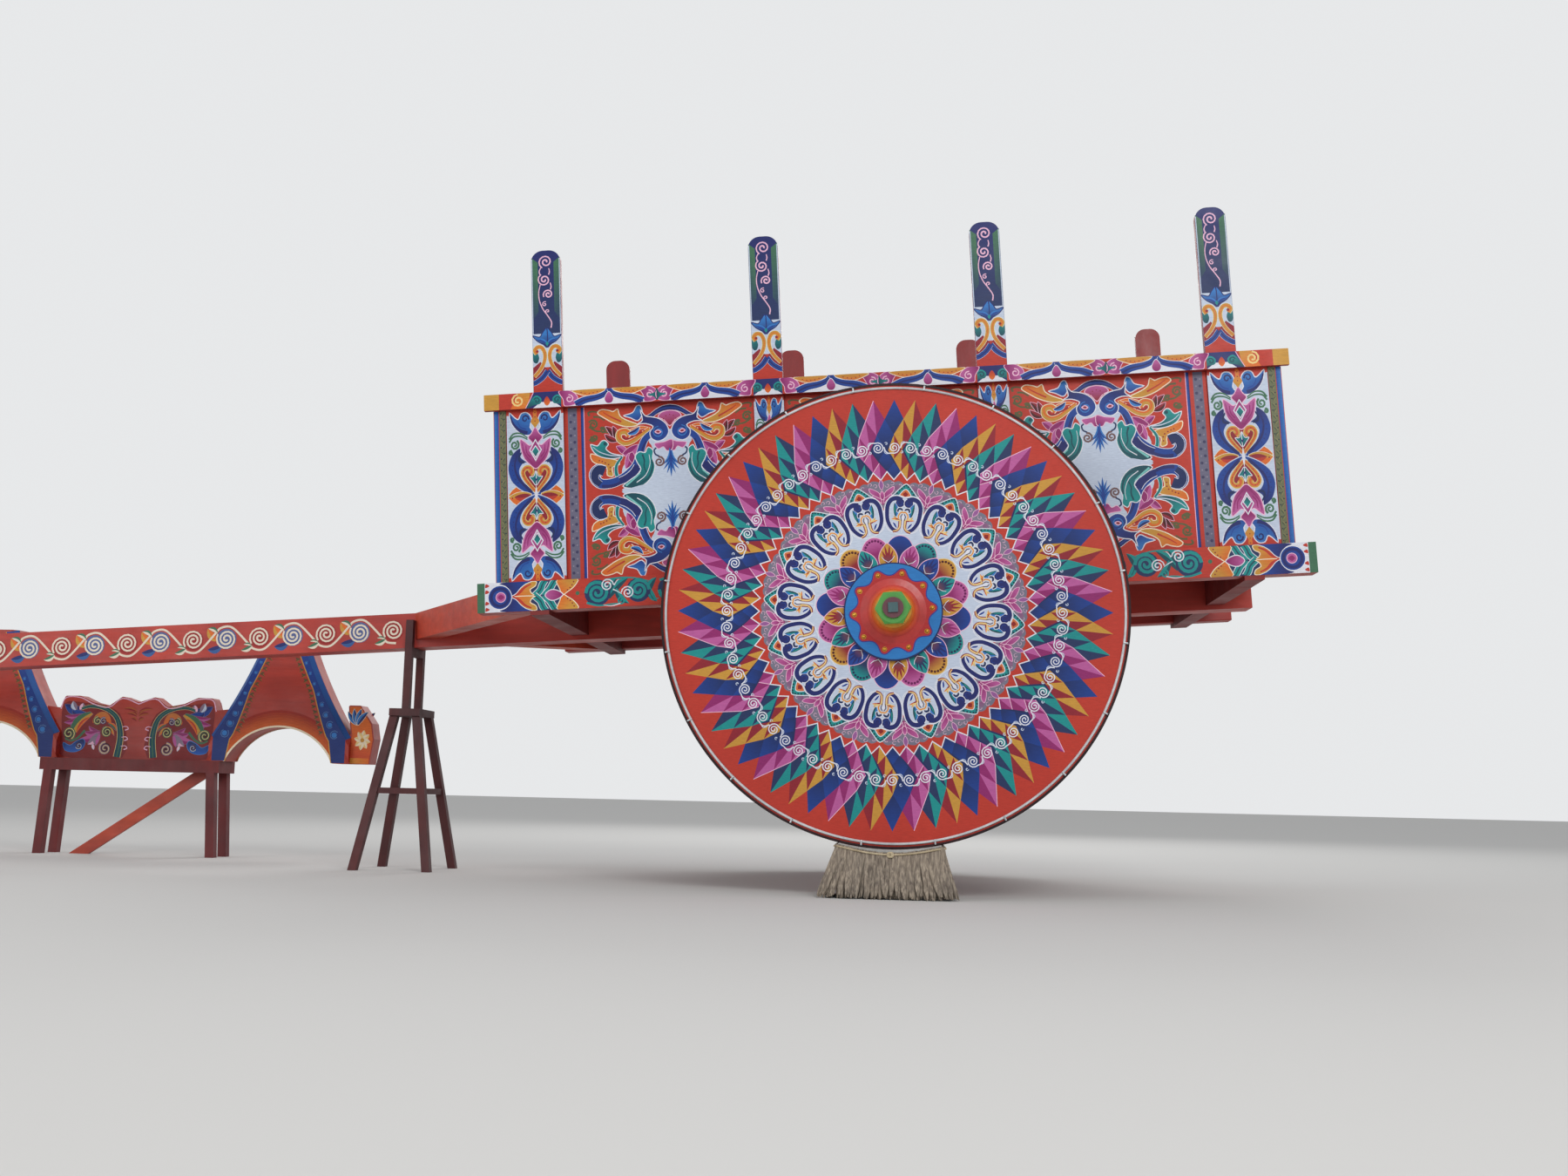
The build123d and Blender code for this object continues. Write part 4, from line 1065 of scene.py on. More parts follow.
# Lay the paint on the cart
totem = totemMotif()
fieldTop, field = fieldMotif()
middleX = sum(board["panelX"]) / 2


def wholeSide(half, centre):
    # a half drawn on the left of the side, with its mirror image on the right
    return half + placed(half, x=2 * centre, flip=True)


stakeHead = stakeMotif()
endLayers = wholeSide(endShapes(totem), middleX)
for x in board["stakeX"]:
    endLayers += placed(stakeHead, x, board["stakeTop"])
railLayers = within(wholeSide(railShapes(), sum(board["railX"]) / 2), board["railX"], board["railZ"])
sillLayers = within(wholeSide(sillShapes(), sum(board["sillX"]) / 2), board["sillX"], board["sillZ"])
sideCuts = (
    ("endPaint", cutShapes(endLayers), cart["stakeY"], "painted_stake"),
    ("panelPaint", cutShapes(wholeSide(panelShapes(field), middleX)), cart["panelY"], "painted_body"),
    ("railPaint", cutShapes(railLayers), cart["railY"], "painted_rail"),
    ("sillPaint", cutShapes(sillLayers), cart["railY"], "painted_body"),
    ("polePaint", cutShapes(poleShapes()), cart["poleY"], "painted_pole"),
)
for side, sign in (("left", -1), ("right", 1)):
    for name, cut, y, slotName in sideCuts:
        origin = axlePoint + Vector((0, sign * (y + cart["liftOff"]), 0))
        sheetOf(f"{name}_{side}", cut, origin, alongCart, upCart, (0, sign, 0), "cart",
                paintMaterial)

# Front board and tailboard
endPanel = {"half": 1.30, "margin": 0.01, "totemX": 1.0, "totemHalf": 0.29, "totemMargin": 0.03,
            "totemSize": 0.160, "fieldSize": 0.150, "tall": 0.128}
foot, head = board["endZ"]
endBoard = []
box(endBoard, -endPanel["half"], endPanel["half"], foot + endPanel["margin"], head - endPanel["margin"],
    "red")
for x in (-endPanel["totemX"], endPanel["totemX"]):
    box(endBoard, x - endPanel["totemHalf"], x + endPanel["totemHalf"], foot + endPanel["totemMargin"],
        head - endPanel["totemMargin"], "paleBlue")
    endBoard += placed(totem, x, (foot + head) / 2, size=endPanel["totemSize"], tall=endPanel["tall"])
endBoard += placed(field, 0, (foot + head) / 2, size=endPanel["fieldSize"], tall=endPanel["tall"])
endCut = cutShapes(endBoard)
for name, body, x, sign in (
        ("frontPaint", "cart", board["endX"][0], -1), ("tailPaint", "tailboard", board["endX"][1], 1)):
    origin = axlePoint + alongCart * (x + sign * cart["liftOff"])
    sheetOf(name, endCut, origin, (0, 1, 0), upCart, alongCart * sign, body, paintMaterial)

# Yoke: its own paint, in metres across from its middle and up from its foot
yoke = {"x": axleX - 6.42, "y": 1.15, "crestY": 0.065, "bellY": 0.130, "endY": 0.085, "bell": 1.27,
        "bevel": 0.045, "foot": (0.604, 0.220), "waist": (0.350, 0.660), "top": (0.170, 1.080),
        "neckHalf": 0.468, "neckRise": 0.300, "glow": 0.16, "glowRings": 7, "stripLift": 0.0012,
        "stripMargin": 0.002}
yoke["z"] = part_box("yoke")[0].z


def arcThrough(a, b, c, count):
    # points along the round line through three points
    (ax, ay), (bx, by), (cx, cy) = a, b, c
    d = 2 * (ax * (by - cy) + bx * (cy - ay) + cx * (ay - by))
    aa, bb, cc = ax * ax + ay * ay, bx * bx + by * by, cx * cx + cy * cy
    ux = (aa * (by - cy) + bb * (cy - ay) + cc * (ay - by)) / d
    uy = (aa * (cx - bx) + bb * (ax - cx) + cc * (bx - ax)) / d
    radius = hypot(ax - ux, ay - uy)
    first, via, last = (atan2(y - uy, x - ux) for x, y in (a, b, c))
    sweep = (last - first) % (2 * pi)
    if (via - first) % (2 * pi) > sweep:
        sweep -= 2 * pi
    return [(ux + radius * cos(first + sweep * i / count), uy + radius * sin(first + sweep * i / count))
            for i in range(count + 1)]


def crestShapes():
    # the left scroll spray of the crest panel, then its mirror image and the faded leaves between
    spray = []
    blob(spray, spots("-660 460, -480 470, -260 440, -130 330, -110 14, -640 14, -660 200"), "crestRed")
    for base, tip, bend, wide, light, dark in (
            ((-0.50, 0.41), (-0.652, 0.455), 0.022, 0.080, "blue", "navy"),
            ((-0.58, 0.40), (-0.440, 0.380), -0.022, 0.070, "blue", "navy"),
            ((-0.55, 0.41), (-0.580, 0.482), 0.008, 0.052, "paleBlue", "mauve"),
            ((-0.51, 0.41), (-0.492, 0.466), -0.008, 0.050, "pinkPale", "mauve"),
            ((-0.48, 0.37), (-0.640, 0.356), 0.014, 0.040, "pink", "magenta"),
            ((-0.48, 0.36), (-0.646, 0.300), 0.020, 0.050, "pink", "magenta"),
            ((-0.463, 0.371), (-0.590, 0.276), 0.016, 0.030, "sky", "blueDeep"),
            ((-0.410, 0.385), (-0.580, 0.160), -0.040, 0.086, "gold", "green"),
            ((-0.330, 0.224), (-0.425, 0.272), 0.016, 0.042, "pink", "magenta"),
            ((-0.322, 0.224), (-0.462, 0.226), 0.022, 0.056, "pink", "magenta"),
            ((-0.330, 0.215), (-0.500, 0.160), 0.022, 0.062, "magenta", "pink"),
            ((-0.340, 0.206), (-0.424, 0.118), 0.012, 0.062, "pinkPale", "mauve"),
            ((-0.330, 0.206), (-0.352, 0.110), -0.012, 0.056, "pink", "mauve"),
            ((-0.300, 0.260), (-0.196, 0.196), 0.024, 0.034, "gold", "orange"),
            ((-0.250, 0.300), (-0.180, 0.236), 0.014, 0.030, "orange", "green"),
            ((-0.380, 0.120), (-0.366, 0.074), 0, 0.024, "pinkPale", "white")):
        leaf(spray, base, tip, bend, wide, light, dark, "mauve", 0.004)
    leaf(spray, (-0.430, 0.345), (-0.530, 0.210), -0.020, 0.030, "orange", "red")
    scroll(spray, spots("-500 420, -430 440, -340 436, -250 404, -184 346, -152 262, -142 160, -160 16"),
           0.050, "tealDeep", "goldPale", "green", (0.4, 1.1), 0.08)
    blob(spray, spots("-392 300, -374 366, -312 398, -256 372, -232 300, -312 330"), "crestBud", "orange",
         ((-0.31, 0.40), (-0.31, 0.31)))
    outlined(spray, spots("-640 130, -580 106, -530 140, -470 164, -448 130, -472 78, -540 52, -620 66"),
             "crestBlue", "sky", 0.006, "blueDeep", ((-0.54, 0.06), (-0.54, 0.15)))
    for x, y, r, turns, start, wide, colour in (
            (-0.350, 0.318, 0.036, 1.4, 90, 0.020, "green"), (-0.300, 0.318, 0.030, 1.4, 60, 0.016, "blue"),
            (-0.597, 0.208, 0.054, 1.6, 300, 0.024, "green"),
            (-0.262, 0.226, 0.044, 1.6, 100, 0.020, "green"), (-0.500, 0.104, 0.030, 1.3, 200, 0.012, "sky"),
            (-0.268, 0.086, 0.056, 1.6, 90, 0.022, "mauve")):
        dot(spray, x, y, r * 0.9, "maroon", 14)
        band(spray, coil(x, y, r, turns, start, 1, 0.15, 12), wide, colour, taper=(1, 0.6))
        band(spray, coil(x, y, r, turns, start, 1, 0.15, 12), wide * 0.28, "goldPale", taper=(1, 0.6))
    stroke(spray, spots("-628 166, -570 146, -510 176, -456 236"), 0.022, "green", (0.6, 1))
    for y in (0.256, 0.168, 0.092):
        stroke(spray, [(-0.130, y + 0.016), (-0.092, y + 0.020), (-0.076, y), (-0.104, y - 0.012)], 0.010,
               "pinkPale", (0.6, 1))
    to = bothWays(spray)
    for s in (-1, 1):
        for x, z in spots("50 400, 100 385, 60 345, 130 425"):
            leaf(to, (s * 0.01, z - 0.02), (s * x, z), 0.012 * s, 0.026, "redDeep", "crestRust")
    edge = [(x / 1000, z / 1000 - 0.014) for x, z in ((0, 482), (145, 528), (260, 450), (400, 476),
                                                      (515, 528), (645, 526), (684, 430))]
    for s in (-1, 1):
        stroke(to, [(s * x, z) for x, z in edge], 0.009, "pinkPale", steps=4)
    return to


def bellShapes():
    # a glow and a pale line round the neck hollow, then the blue border with its leafy edging
    to = []
    arch = arcThrough((-yoke["neckHalf"], 0.002), (0, yoke["neckRise"]), (yoke["neckHalf"], 0.002), 28)
    ground, glow = paintOf("bellRed"), paintOf("bellGlow")
    for i in range(yoke["glowRings"]):
        share = i / (yoke["glowRings"] - 1)
        reach = yoke["glow"] * (1 - share) + 0.02
        away = [(x * (1 + reach / hypot(x, z + 0.3)), z * (1 + reach / 0.4)) for x, z in arch]
        fill(to, away + arch[::-1], tuple(a + (b - a) * share for a, b in zip(ground, glow)))
    band(to, arch, 0.016, "cream")
    outer = arcThrough(yoke["foot"], yoke["waist"], yoke["top"], 20)
    inset = [(x - yoke["bevel"] * 0.72, z - yoke["bevel"] * 0.30) for x, z in outer]
    widths = [0.145 - 0.085 * min(1, max(0, (z - 0.25) / 0.36)) for x, z in inset]
    inner = [(x - w, z - w * 0.15) for (x, z), w in zip(inset, widths)]
    foot = [(inset[0][0], 0.004), (inner[0][0] + 0.03, 0.004)]
    for s in (-1, 1):
        fill(to, [(s * x, z) for x, z in inset[::-1] + foot + inner], "blue", "bellBlue",
             ((0, 1.0), (0, 0.1)))
        band(to, [(s * x, z) for x, z in inner[::-1] + [foot[1]]], 0.008, "gold")
        for i in range(2, len(inner) - 1):
            x, z = inner[i]
            for k, colour in ((0, "bellRust"), (1, "bellOlive")):
                leaf(to, (s * (x - 0.010), z - 0.012 * k), (s * (x - 0.048), z - 0.03 + 0.035 * k), 0.005,
                     0.017, colour, "bellBrown")
        for i in range(1, len(inner) - 1, 2):
            x, z, w = (inset[i][0] + inner[i][0]) / 2, (inset[i][1] + inner[i][1]) / 2, widths[i]
            dot(to, s * x, z, w * 0.16, "sky", 8)
            band(to, coil(s * x, z, w * 0.26, 0.8, 40, s, 0.8, 9), w * 0.05, "bellCurl")
    return to


def endPieceShapes():
    # the flared end, orange with a blue fan and a pale flower
    to = []
    outline = spots("540 4, 762 4, 790 205, 768 332, 668 480, 580 480, 586 400, 612 240")
    fill(to, outline, "orange", "red", ((0.66, 0.30), (0.56, 0.0)))
    box(to, 0.560, 0.765, 0.004, 0.050, "gold", "orange", ((0.56, 0), (0.76, 0)))
    for angle in (-38, -14, 12, 38):
        leaf(to, (0.652, 0.33), (0.652 + 0.14 * sin(radians(angle)), 0.335 + 0.13 * cos(radians(angle))),
             0.01, 0.042, "sky", "navy", "cream", 0.006)
    for i in range(8):
        angle = radians(45 * i + 10)
        leaf(to, (0.700, 0.200), (0.700 + 0.072 * sin(angle), 0.200 + 0.086 * cos(angle)), 0, 0.044, "cream",
             "goldPale")
    dot(to, 0.700, 0.200, 0.018, "gold", 10)
    return to


def bevelStrip(name, sign, where):
    # blue paint on the slanted edges of a bell
    outer = arcThrough(yoke["foot"], yoke["waist"], yoke["top"], 20)
    points, faces = [], []
    step, margin = yoke["stripLift"], yoke["stripMargin"]
    for s in (-1, 1):
        first = len(points)
        for i, (x, z) in enumerate(outer):
            before, after = outer[max(i - 1, 0)], outer[min(i + 1, len(outer) - 1)]
            nx, nz = -(after[1] - before[1]), after[0] - before[0]
            size = -hypot(nx, nz) if nx > 0 else hypot(nx, nz)
            nx, nz = nx / size, nz / size
            for depth in (margin, yoke["bevel"] - margin):
                px, pz = x + nx * depth - nx * step, z + nz * depth - nz * step
                py = sign * (yoke["bellY"] - yoke["bevel"] + depth + step)
                points.append((yoke["x"] + where + s * px, yoke["y"] + py, yoke["z"] + pz))
        for i in range(len(outer) - 1):
            a = first + 2 * i
            face = (a, a + 1, a + 3, a + 2)
            faces.append(face if s * sign > 0 else face[::-1])
    piece = paintedPiece(name, points, faces, paintOf("bevelBlue"), paintMaterial)
    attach(piece, "cart")


crestCut, bellCut = cutShapes(crestShapes()), cutShapes(bellShapes())
for face, sign in (("near", -1), ("far", 1)):
    for name, cut, depth, where in (
            ("crestPaint", crestCut, "crestY", 0), ("bellPaintFront", bellCut, "bellY", -yoke["bell"]),
            ("bellPaintRear", bellCut, "bellY", yoke["bell"])):
        origin = (yoke["x"] + where, yoke["y"] + sign * (yoke[depth] + cart["liftOff"]), yoke["z"])
        sheetOf(f"{name}_{face}", cut, origin, (1, 0, 0), (0, 0, 1), (0, sign, 0), "cart",
                paintMaterial)
    for name, where in (("bevelPaintFront", -yoke["bell"]), ("bevelPaintRear", yoke["bell"])):
        bevelStrip(f"{name}_{face}", sign, where)
    flared = cutShapes(placed(endPieceShapes(), yoke["bell"])
                       + placed(endPieceShapes(), -yoke["bell"], flip=True))
    origin = (yoke["x"], yoke["y"] + sign * (yoke["endY"] + cart["liftOff"]), yoke["z"])
    sheetOf(f"endPiecePaint_{face}", flared, origin, (1, 0, 0), (0, 0, 1), (0, sign, 0), "cart",
            paintMaterial)


# Materials of the CAD pieces
def roundPaint(name, reach, stops, roughness):
    # rings of paint about the axle, from stops of (distance from it, colour)
    material, tree, shader = nodesOf(name)
    place = add(tree, "ShaderNodeTexCoord")
    mapping = add(tree, "ShaderNodeMapping", Location=(-axleX / reach, 0, -axleZ / reach),
                  Scale=(1 / reach, 0, 1 / reach))
    rings = add(tree, "ShaderNodeTexGradient", gradient_type="SPHERICAL")
    tree.links.new(place.outputs["Object"], mapping.inputs["Vector"])
    tree.links.new(mapping.outputs["Vector"], rings.inputs["Vector"])
    colours = ramp(tree, rings.outputs["Fac"], sorted((1 - distance / reach, colour) for distance,
                                                      colour in stops))
    worn = ramp(tree, noiseOf(tree, 18, 5), [(0.3, (0.78, 0.78, 0.80)), (0.66, (1.06, 1.05, 1.04))])
    tree.links.new(mixed(tree, colours, worn, 0.8, "MULTIPLY"), shader.inputs["Base Color"])
    gloss = ramp(tree, noiseOf(tree, 12, 4), [(0.3, (roughness - 0.06,) * 3),
                                              (0.75, (roughness + 0.12,) * 3)])
    tree.links.new(gloss, shader.inputs["Roughness"])
    bumpFrom(tree, shader, noiseOf(tree, 40, 5), 0.15, 0.004)
    return material


def facePaint(name, outside, inside, level):
    # painted outwards of level, plain on the inner side
    material, tree, shader = nodesOf(name)
    place = add(tree, "ShaderNodeTexCoord")
    parts = add(tree, "ShaderNodeSeparateXYZ")
    size = add(tree, "ShaderNodeMath", operation="ABSOLUTE")
    above = add(tree, "ShaderNodeMath", operation="GREATER_THAN")
    above.inputs[1].default_value = level
    tree.links.new(place.outputs["Object"], parts.inputs["Vector"])
    tree.links.new(parts.outputs["Y"], size.inputs[0])
    tree.links.new(size.outputs[0], above.inputs[0])
    both = mixed(tree, inside, outside, above.outputs[0])
    worn = ramp(tree, noiseOf(tree, 14, 5, (1, 1, 0.15)),
                [(0.3, (0.74, 0.74, 0.76)), (0.66, (1.06, 1.05, 1.04))])
    tree.links.new(mixed(tree, both, worn, 0.8, "MULTIPLY"), shader.inputs["Base Color"])
    gloss = ramp(tree, noiseOf(tree, 9, 4), [(0.3, (0.38,) * 3), (0.75, (0.56,) * 3)])
    tree.links.new(gloss, shader.inputs["Roughness"])
    bumpFrom(tree, shader, noiseOf(tree, 60, 5, (1, 1, 0.15)), 0.2, 0.004)
    return material


alongX, upright = (0.12, 1, 1), (1, 1, 0.12)
nosePaint = roundPaint("nosePaint", 0.3, ((0.216, hue(180, 50, 50)), (0.165, hue(186, 52, 44)),
                                          (0.138, hue(214, 86, 36)), (0.122, hue(226, 130, 40)),
                                          (0.110, hue(222, 170, 60))), 0.34)
faceLevel = {"underNut": 0.013, "underTip": 0.006, "stake": 1.4375}
nutFace, axleTip = (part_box(name)[1].y for name in ("axle_nut_right", "axle"))
finishes = (
    (("side_panel", "corner_boards", "top_rail", "sill"),
     solidPaint("bodyRed", hue(176, 52, 42), hue(150, 40, 36), 0.46, alongX)),
    # floor, bearers and bolster take a darker red: painted shade for their place under the cart
    (("floor", "bearers", "bolster"),
     solidPaint("underShadeRed", hue(132, 34, 30), hue(104, 26, 26), 0.58, alongX)),
    (("front_board", "tailboard", "tailboard_cleats"),
     solidPaint("boardRed", hue(150, 40, 34), hue(122, 30, 30), 0.52, (1, 0.12, 1))),
    (("pole",), solidPaint("poleRed", hue(186, 54, 38), hue(152, 40, 34), 0.46, alongX)),
    (("fork_arm",), solidPaint("armRed", hue(200, 74, 46), hue(162, 48, 36), 0.46, alongX)),
    (("trestle_cap", "trestle_posts", "trestle_saddle", "trestle_legs", "trestle_stretchers"),
     solidPaint("standMaroon", hue(82, 30, 30), hue(58, 22, 26), 0.62, upright)),
    (("bench_top", "bench_legs"), solidPaint("benchRed", hue(112, 30, 30), hue(80, 22, 26), 0.58, upright)),
    (("bench_brace",), solidPaint("braceRed", hue(178, 70, 46), hue(132, 40, 34), 0.56, alongX)),
    (("yoke",), solidPaint("yokeRed", hue(174, 48, 28), hue(142, 36, 28), 0.40, alongX, 5.0)),
    (("wheel_disc",), solidPaint("discRed", hue(172, 50, 40), hue(140, 38, 34), 0.50, (1, 1, 1), 4.0)),
    (("tyre",), solidPaint("tyreIron", hue(58, 34, 36), hue(34, 26, 30), 0.52, (1, 1, 1), 7.0, 0.4, 0.6)),
    (("hub_plate",), solidPaint("plateNavy", hue(34, 52, 112), hue(26, 38, 84), 0.36)),
    (("hub_nose", "hub_back"), nosePaint),
    (("axle_nut",),
     facePaint("nutPaint", hue(76, 150, 66), hue(210, 180, 60), nutFace - faceLevel["underNut"])),
    (("axle",), facePaint("axlePaint", hue(62, 92, 96), hue(96, 52, 62), axleTip - faceLevel["underTip"])),
    (("stakes",), facePaint("stakePaint", paintOf("navy"), hue(140, 34, 34), faceLevel["stake"])),
    (("plinth",),
     solidPaint("paleBlock", hue(196, 196, 194), hue(150, 146, 138), 0.86, (1, 1, 1), 6.0, 0.6)),
    (("rim_tube",), solidPaint("clearTube", hue(214, 218, 220), hue(176, 180, 184), 0.22)),
)
for names, material in finishes:
    for nodeName, piece in frame["nodes"].items():
        if nodeName in names or nodeName.rsplit("_", 1)[0] in names and nodeName.rsplit("_",
                                                                                        1)[1] in ("left",
                                                                                                  "right"):
            for slot in piece.material_slots:
                slot.material = material
            if not piece.material_slots:
                piece.data.materials.append(material)
print("CAD pieces painted")


def deselect():
    if bpy.context.object and bpy.context.object.mode == "EDIT":
        bpy.ops.object.mode_set(mode="OBJECT")
    bpy.ops.object.select_all(action="DESELECT")


def applyPlace(piece):
    deselect()
    piece.select_set(True)
    bpy.context.view_layer.objects.active = piece
    bpy.ops.object.transform_apply(location=True, rotation=True, scale=True)


def joinAll(pieces, name):
    deselect()
    for piece in pieces:
        piece.select_set(True)
    bpy.context.view_layer.objects.active = pieces[0]
    bpy.ops.object.join()
    joined = bpy.context.object
    joined.name = name
    applyPlace(joined)
    return joined


# Gilt studs round the hub plate
stud = {"count": 10, "first": 12, "ring": 0.787, "radius": 0.0155, "flange": 0.0025, "height": 0.009,
        "rounds": 4, "sides": 20, "rim": 0.22, "facing": 0.9, "crown": 0.08, "smooth": 40}


def makeStud(centre, sign):
    bpy.ops.mesh.primitive_cylinder_add(vertices=stud["sides"], radius=stud["radius"], depth=stud["flange"],
                                        location=centre, rotation=(radians(90), 0, 0))
    piece = bpy.context.object
    bpy.ops.object.transform_apply(location=False, rotation=True, scale=False)
    bpy.ops.object.mode_set(mode="EDIT")
    bpy.ops.mesh.select_all(action="DESELECT")
    bpy.ops.object.mode_set(mode="OBJECT")
    for face in piece.data.polygons:
        face.select = face.normal.y * sign > stud["facing"]
    bpy.ops.object.mode_set(mode="EDIT")
    bpy.ops.mesh.inset(thickness=stud["radius"] * stud["rim"])
    for i in range(stud["rounds"]):
        low, high = (pi / 2 * k / stud["rounds"] for k in (i, i + 1))
        rise = stud["height"] * (sin(high) - sin(low))
        shrink = max(stud["crown"], cos(high)) / cos(low)
        bpy.ops.mesh.extrude_region_move(TRANSFORM_OT_translate={"value": (0, sign * rise, 0)})
        bpy.ops.transform.resize(value=(shrink, 1, shrink))
    bpy.ops.object.mode_set(mode="OBJECT")
    bpy.ops.object.shade_smooth_by_angle(angle=radians(stud["smooth"]))
    return piece


giltMetal = solidPaint("giltMetal", hue(214, 166, 70), hue(176, 120, 44), 0.30, (1, 1, 1), 30.0, 0.2, 0.85)
for side, sign in (("left", -1), ("right", 1)):
    heads = []
    for k in range(stud["count"]):
        x, z = polar(stud["first"] + k * 360 / stud["count"], hub["radius"] * stud["ring"])
        deselect()
        heads.append(makeStud((axleX + x, sign * (cart["plateY"] + stud["flange"] / 2), axleZ + z), sign))
    studs = joinAll(heads, f"hubStuds_{side}")
    studs.data.materials.clear()
    studs.data.materials.append(giltMetal)
    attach(studs, f"wheel_{side}")
print("studs made")

# Clips that hold the light tube to the rim
clip = {"count": 20, "ring": 1.474, "wide": 0.012, "long": 0.034, "high": 0.019, "first": 7, "bevel": 0.004}
clipMetal = solidPaint("clipMetal", hue(206, 208, 210), hue(150, 152, 156), 0.34, (1, 1, 1), 30.0, 0.2, 0.7)
for side, sign in (("left", -1), ("right", 1)):
    straps = []
    for k in range(clip["count"]):
        angle = clip["first"] + k * 360 / clip["count"]
        x, z = polar(angle, clip["ring"])
        deselect()
        bpy.ops.mesh.primitive_cube_add(size=1, location=(axleX + x,
                                                          sign * (cart["wheelY"] + clip["high"] / 2),
                                                          axleZ + z), rotation=(0, radians(angle), 0))
        strap = bpy.context.object
        strap.scale = (clip["wide"], clip["high"], clip["long"])
        bpy.ops.object.transform_apply(location=False, rotation=False, scale=True)
        bpy.ops.object.mode_set(mode="EDIT")
        bpy.ops.mesh.bevel(offset=clip["bevel"], segments=2)
        bpy.ops.object.mode_set(mode="OBJECT")
        straps.append(strap)
    clips = joinAll(straps, f"tubeClips_{side}")
    clips.data.materials.clear()
    clips.data.materials.append(clipMetal)
    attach(clips, f"wheel_{side}")
print("clips made")

# Palm-leaf skirts tied round the plinths
skirt = {"strands": 260, "steps": 6, "width": (0.016, 0.034), "flare": 0.085, "seed": 7, "gap": 0.006,
         "layers": 3, "sag": 0.045, "topDrop": 0.004, "topRough": 0.008, "lean": 0.05, "bow": (0.6, 1.1),
         "foot": 0.03, "layerStep": 0.004, "curve": 1.3, "layerBow": (0.55, 0.25), "ripple": 0.004,
         "ripples": 9, "fan": 0.16, "ridge": 0.005, "tip": 0.35}
cord = {"radius": 0.0055, "away": 0.020, "drop": 0.018, "points": 96, "roundness": 3, "knotAway": 0.026,
        "knot": 0.014, "knotSides": (20, 8), "knotLoops": ((35, 0.0), (-35, 0.008))}


def strawMaterial():
    material, tree, shader = nodesOf("palmStraw")
    shades = ramp(tree, noiseOf(tree, 90, 5, (1, 1, 0.03)),
                  [(0.25, hue(84, 74, 66)), (0.5, hue(142, 130, 116)), (0.72, hue(184, 170, 150))])
    shader.inputs["Roughness"].default_value = 0.85
    clouds = ramp(tree, noiseOf(tree, 5, 3), [(0.3, (0.72, 0.72, 0.74)), (0.7, (1.08, 1.06, 1.04))])
    tree.links.new(mixed(tree, shades, clouds, 0.8, "MULTIPLY"), shader.inputs["Base Color"])
    bumpFrom(tree, shader, noiseOf(tree, 160, 5, (1, 1, 0.03)), 0.5, 0.004)
    return material


def loopAround(low, high, share):
    # place on the plinth's outline and its outward direction, for a share of the way round
    wide, deep = high.x - low.x, high.y - low.y
    reach = share * 2 * (wide + deep)
    if reach < wide:
        return Vector((low.x + reach, low.y, 0)), Vector((0, -1, 0)), reach / wide
    if reach < wide + deep:
        return Vector((high.x, low.y + reach - wide, 0)), Vector((1, 0, 0)), (reach - wide) / deep
    if reach < 2 * wide + deep:
        return Vector((high.x - (reach - wide - deep), high.y, 0)), Vector((0, 1, 0)), (reach - wide
                                                                                        - deep) / wide
    return Vector((low.x, high.y - (reach - 2 * wide - deep), 0)), Vector((-1, 0, 0)), (reach - 2 * wide
                                                                                        - deep) / deep


def sagAt(out, share):
    # how far the long sides' top edge hangs down
    return skirt["sag"] * sin(pi * share) if out.y else 0.0


def makeSkirt(side):
    draw = random.Random(skirt["seed"] + (side == "right"))
    low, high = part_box(f"plinth_{side}")
    points, faces = [], []
    total = skirt["strands"] * skirt["layers"]
    for i in range(total):
        spot, out, share = loopAround(low, high, (i + draw.random()) / total)
        layer = i % skirt["layers"]
        top = high.z - skirt["topDrop"] - sagAt(out, share) - draw.random() * skirt["topRough"]
        wide = draw.uniform(*skirt["width"]) / 2
        along = Vector((-out.y, out.x, 0))
        lean, bow = draw.uniform(-skirt["lean"], skirt["lean"]), draw.uniform(*skirt["bow"]) * skirt["flare"]
        corner = (share - 0.5) * skirt["fan"] if out.y else 0.0
        foot = draw.uniform(0.0, skirt["foot"])
        least, more = skirt["layerBow"]
        first = len(points)
        for k in range(skirt["steps"] + 1):
            t = k / skirt["steps"]
            z = top + (foot - top) * t
            swell = bow * t ** skirt["curve"] * (least + more * layer)
            ripple = skirt["ripple"] * sin(skirt["ripples"] * t + i)
            away = skirt["gap"] + layer * skirt["layerStep"] + swell + ripple
            middle = spot + out * away + along * (lean * t + corner * t * (1 if out.y < 0 else -1))
            half = wide * (1.0 if k < skirt["steps"] else skirt["tip"])
            for n, lift in ((-1, 0.0), (0, skirt["ridge"]), (1, 0.0)):
                place = middle + along * half * n + out * lift
                points.append((place.x, place.y, z))
        for k in range(skirt["steps"]):
            for n in (0, 1):
                a = first + 3 * k + n
                faces.append((a, a + 3, a + 4, a + 1))
    mesh = bpy.data.meshes.new(f"palmSkirt_{side}")
    mesh.from_pydata(points, [], faces)
    piece = linked(f"palmSkirt_{side}", mesh)
    piece.data.materials.append(straw)
    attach(piece, "cart")


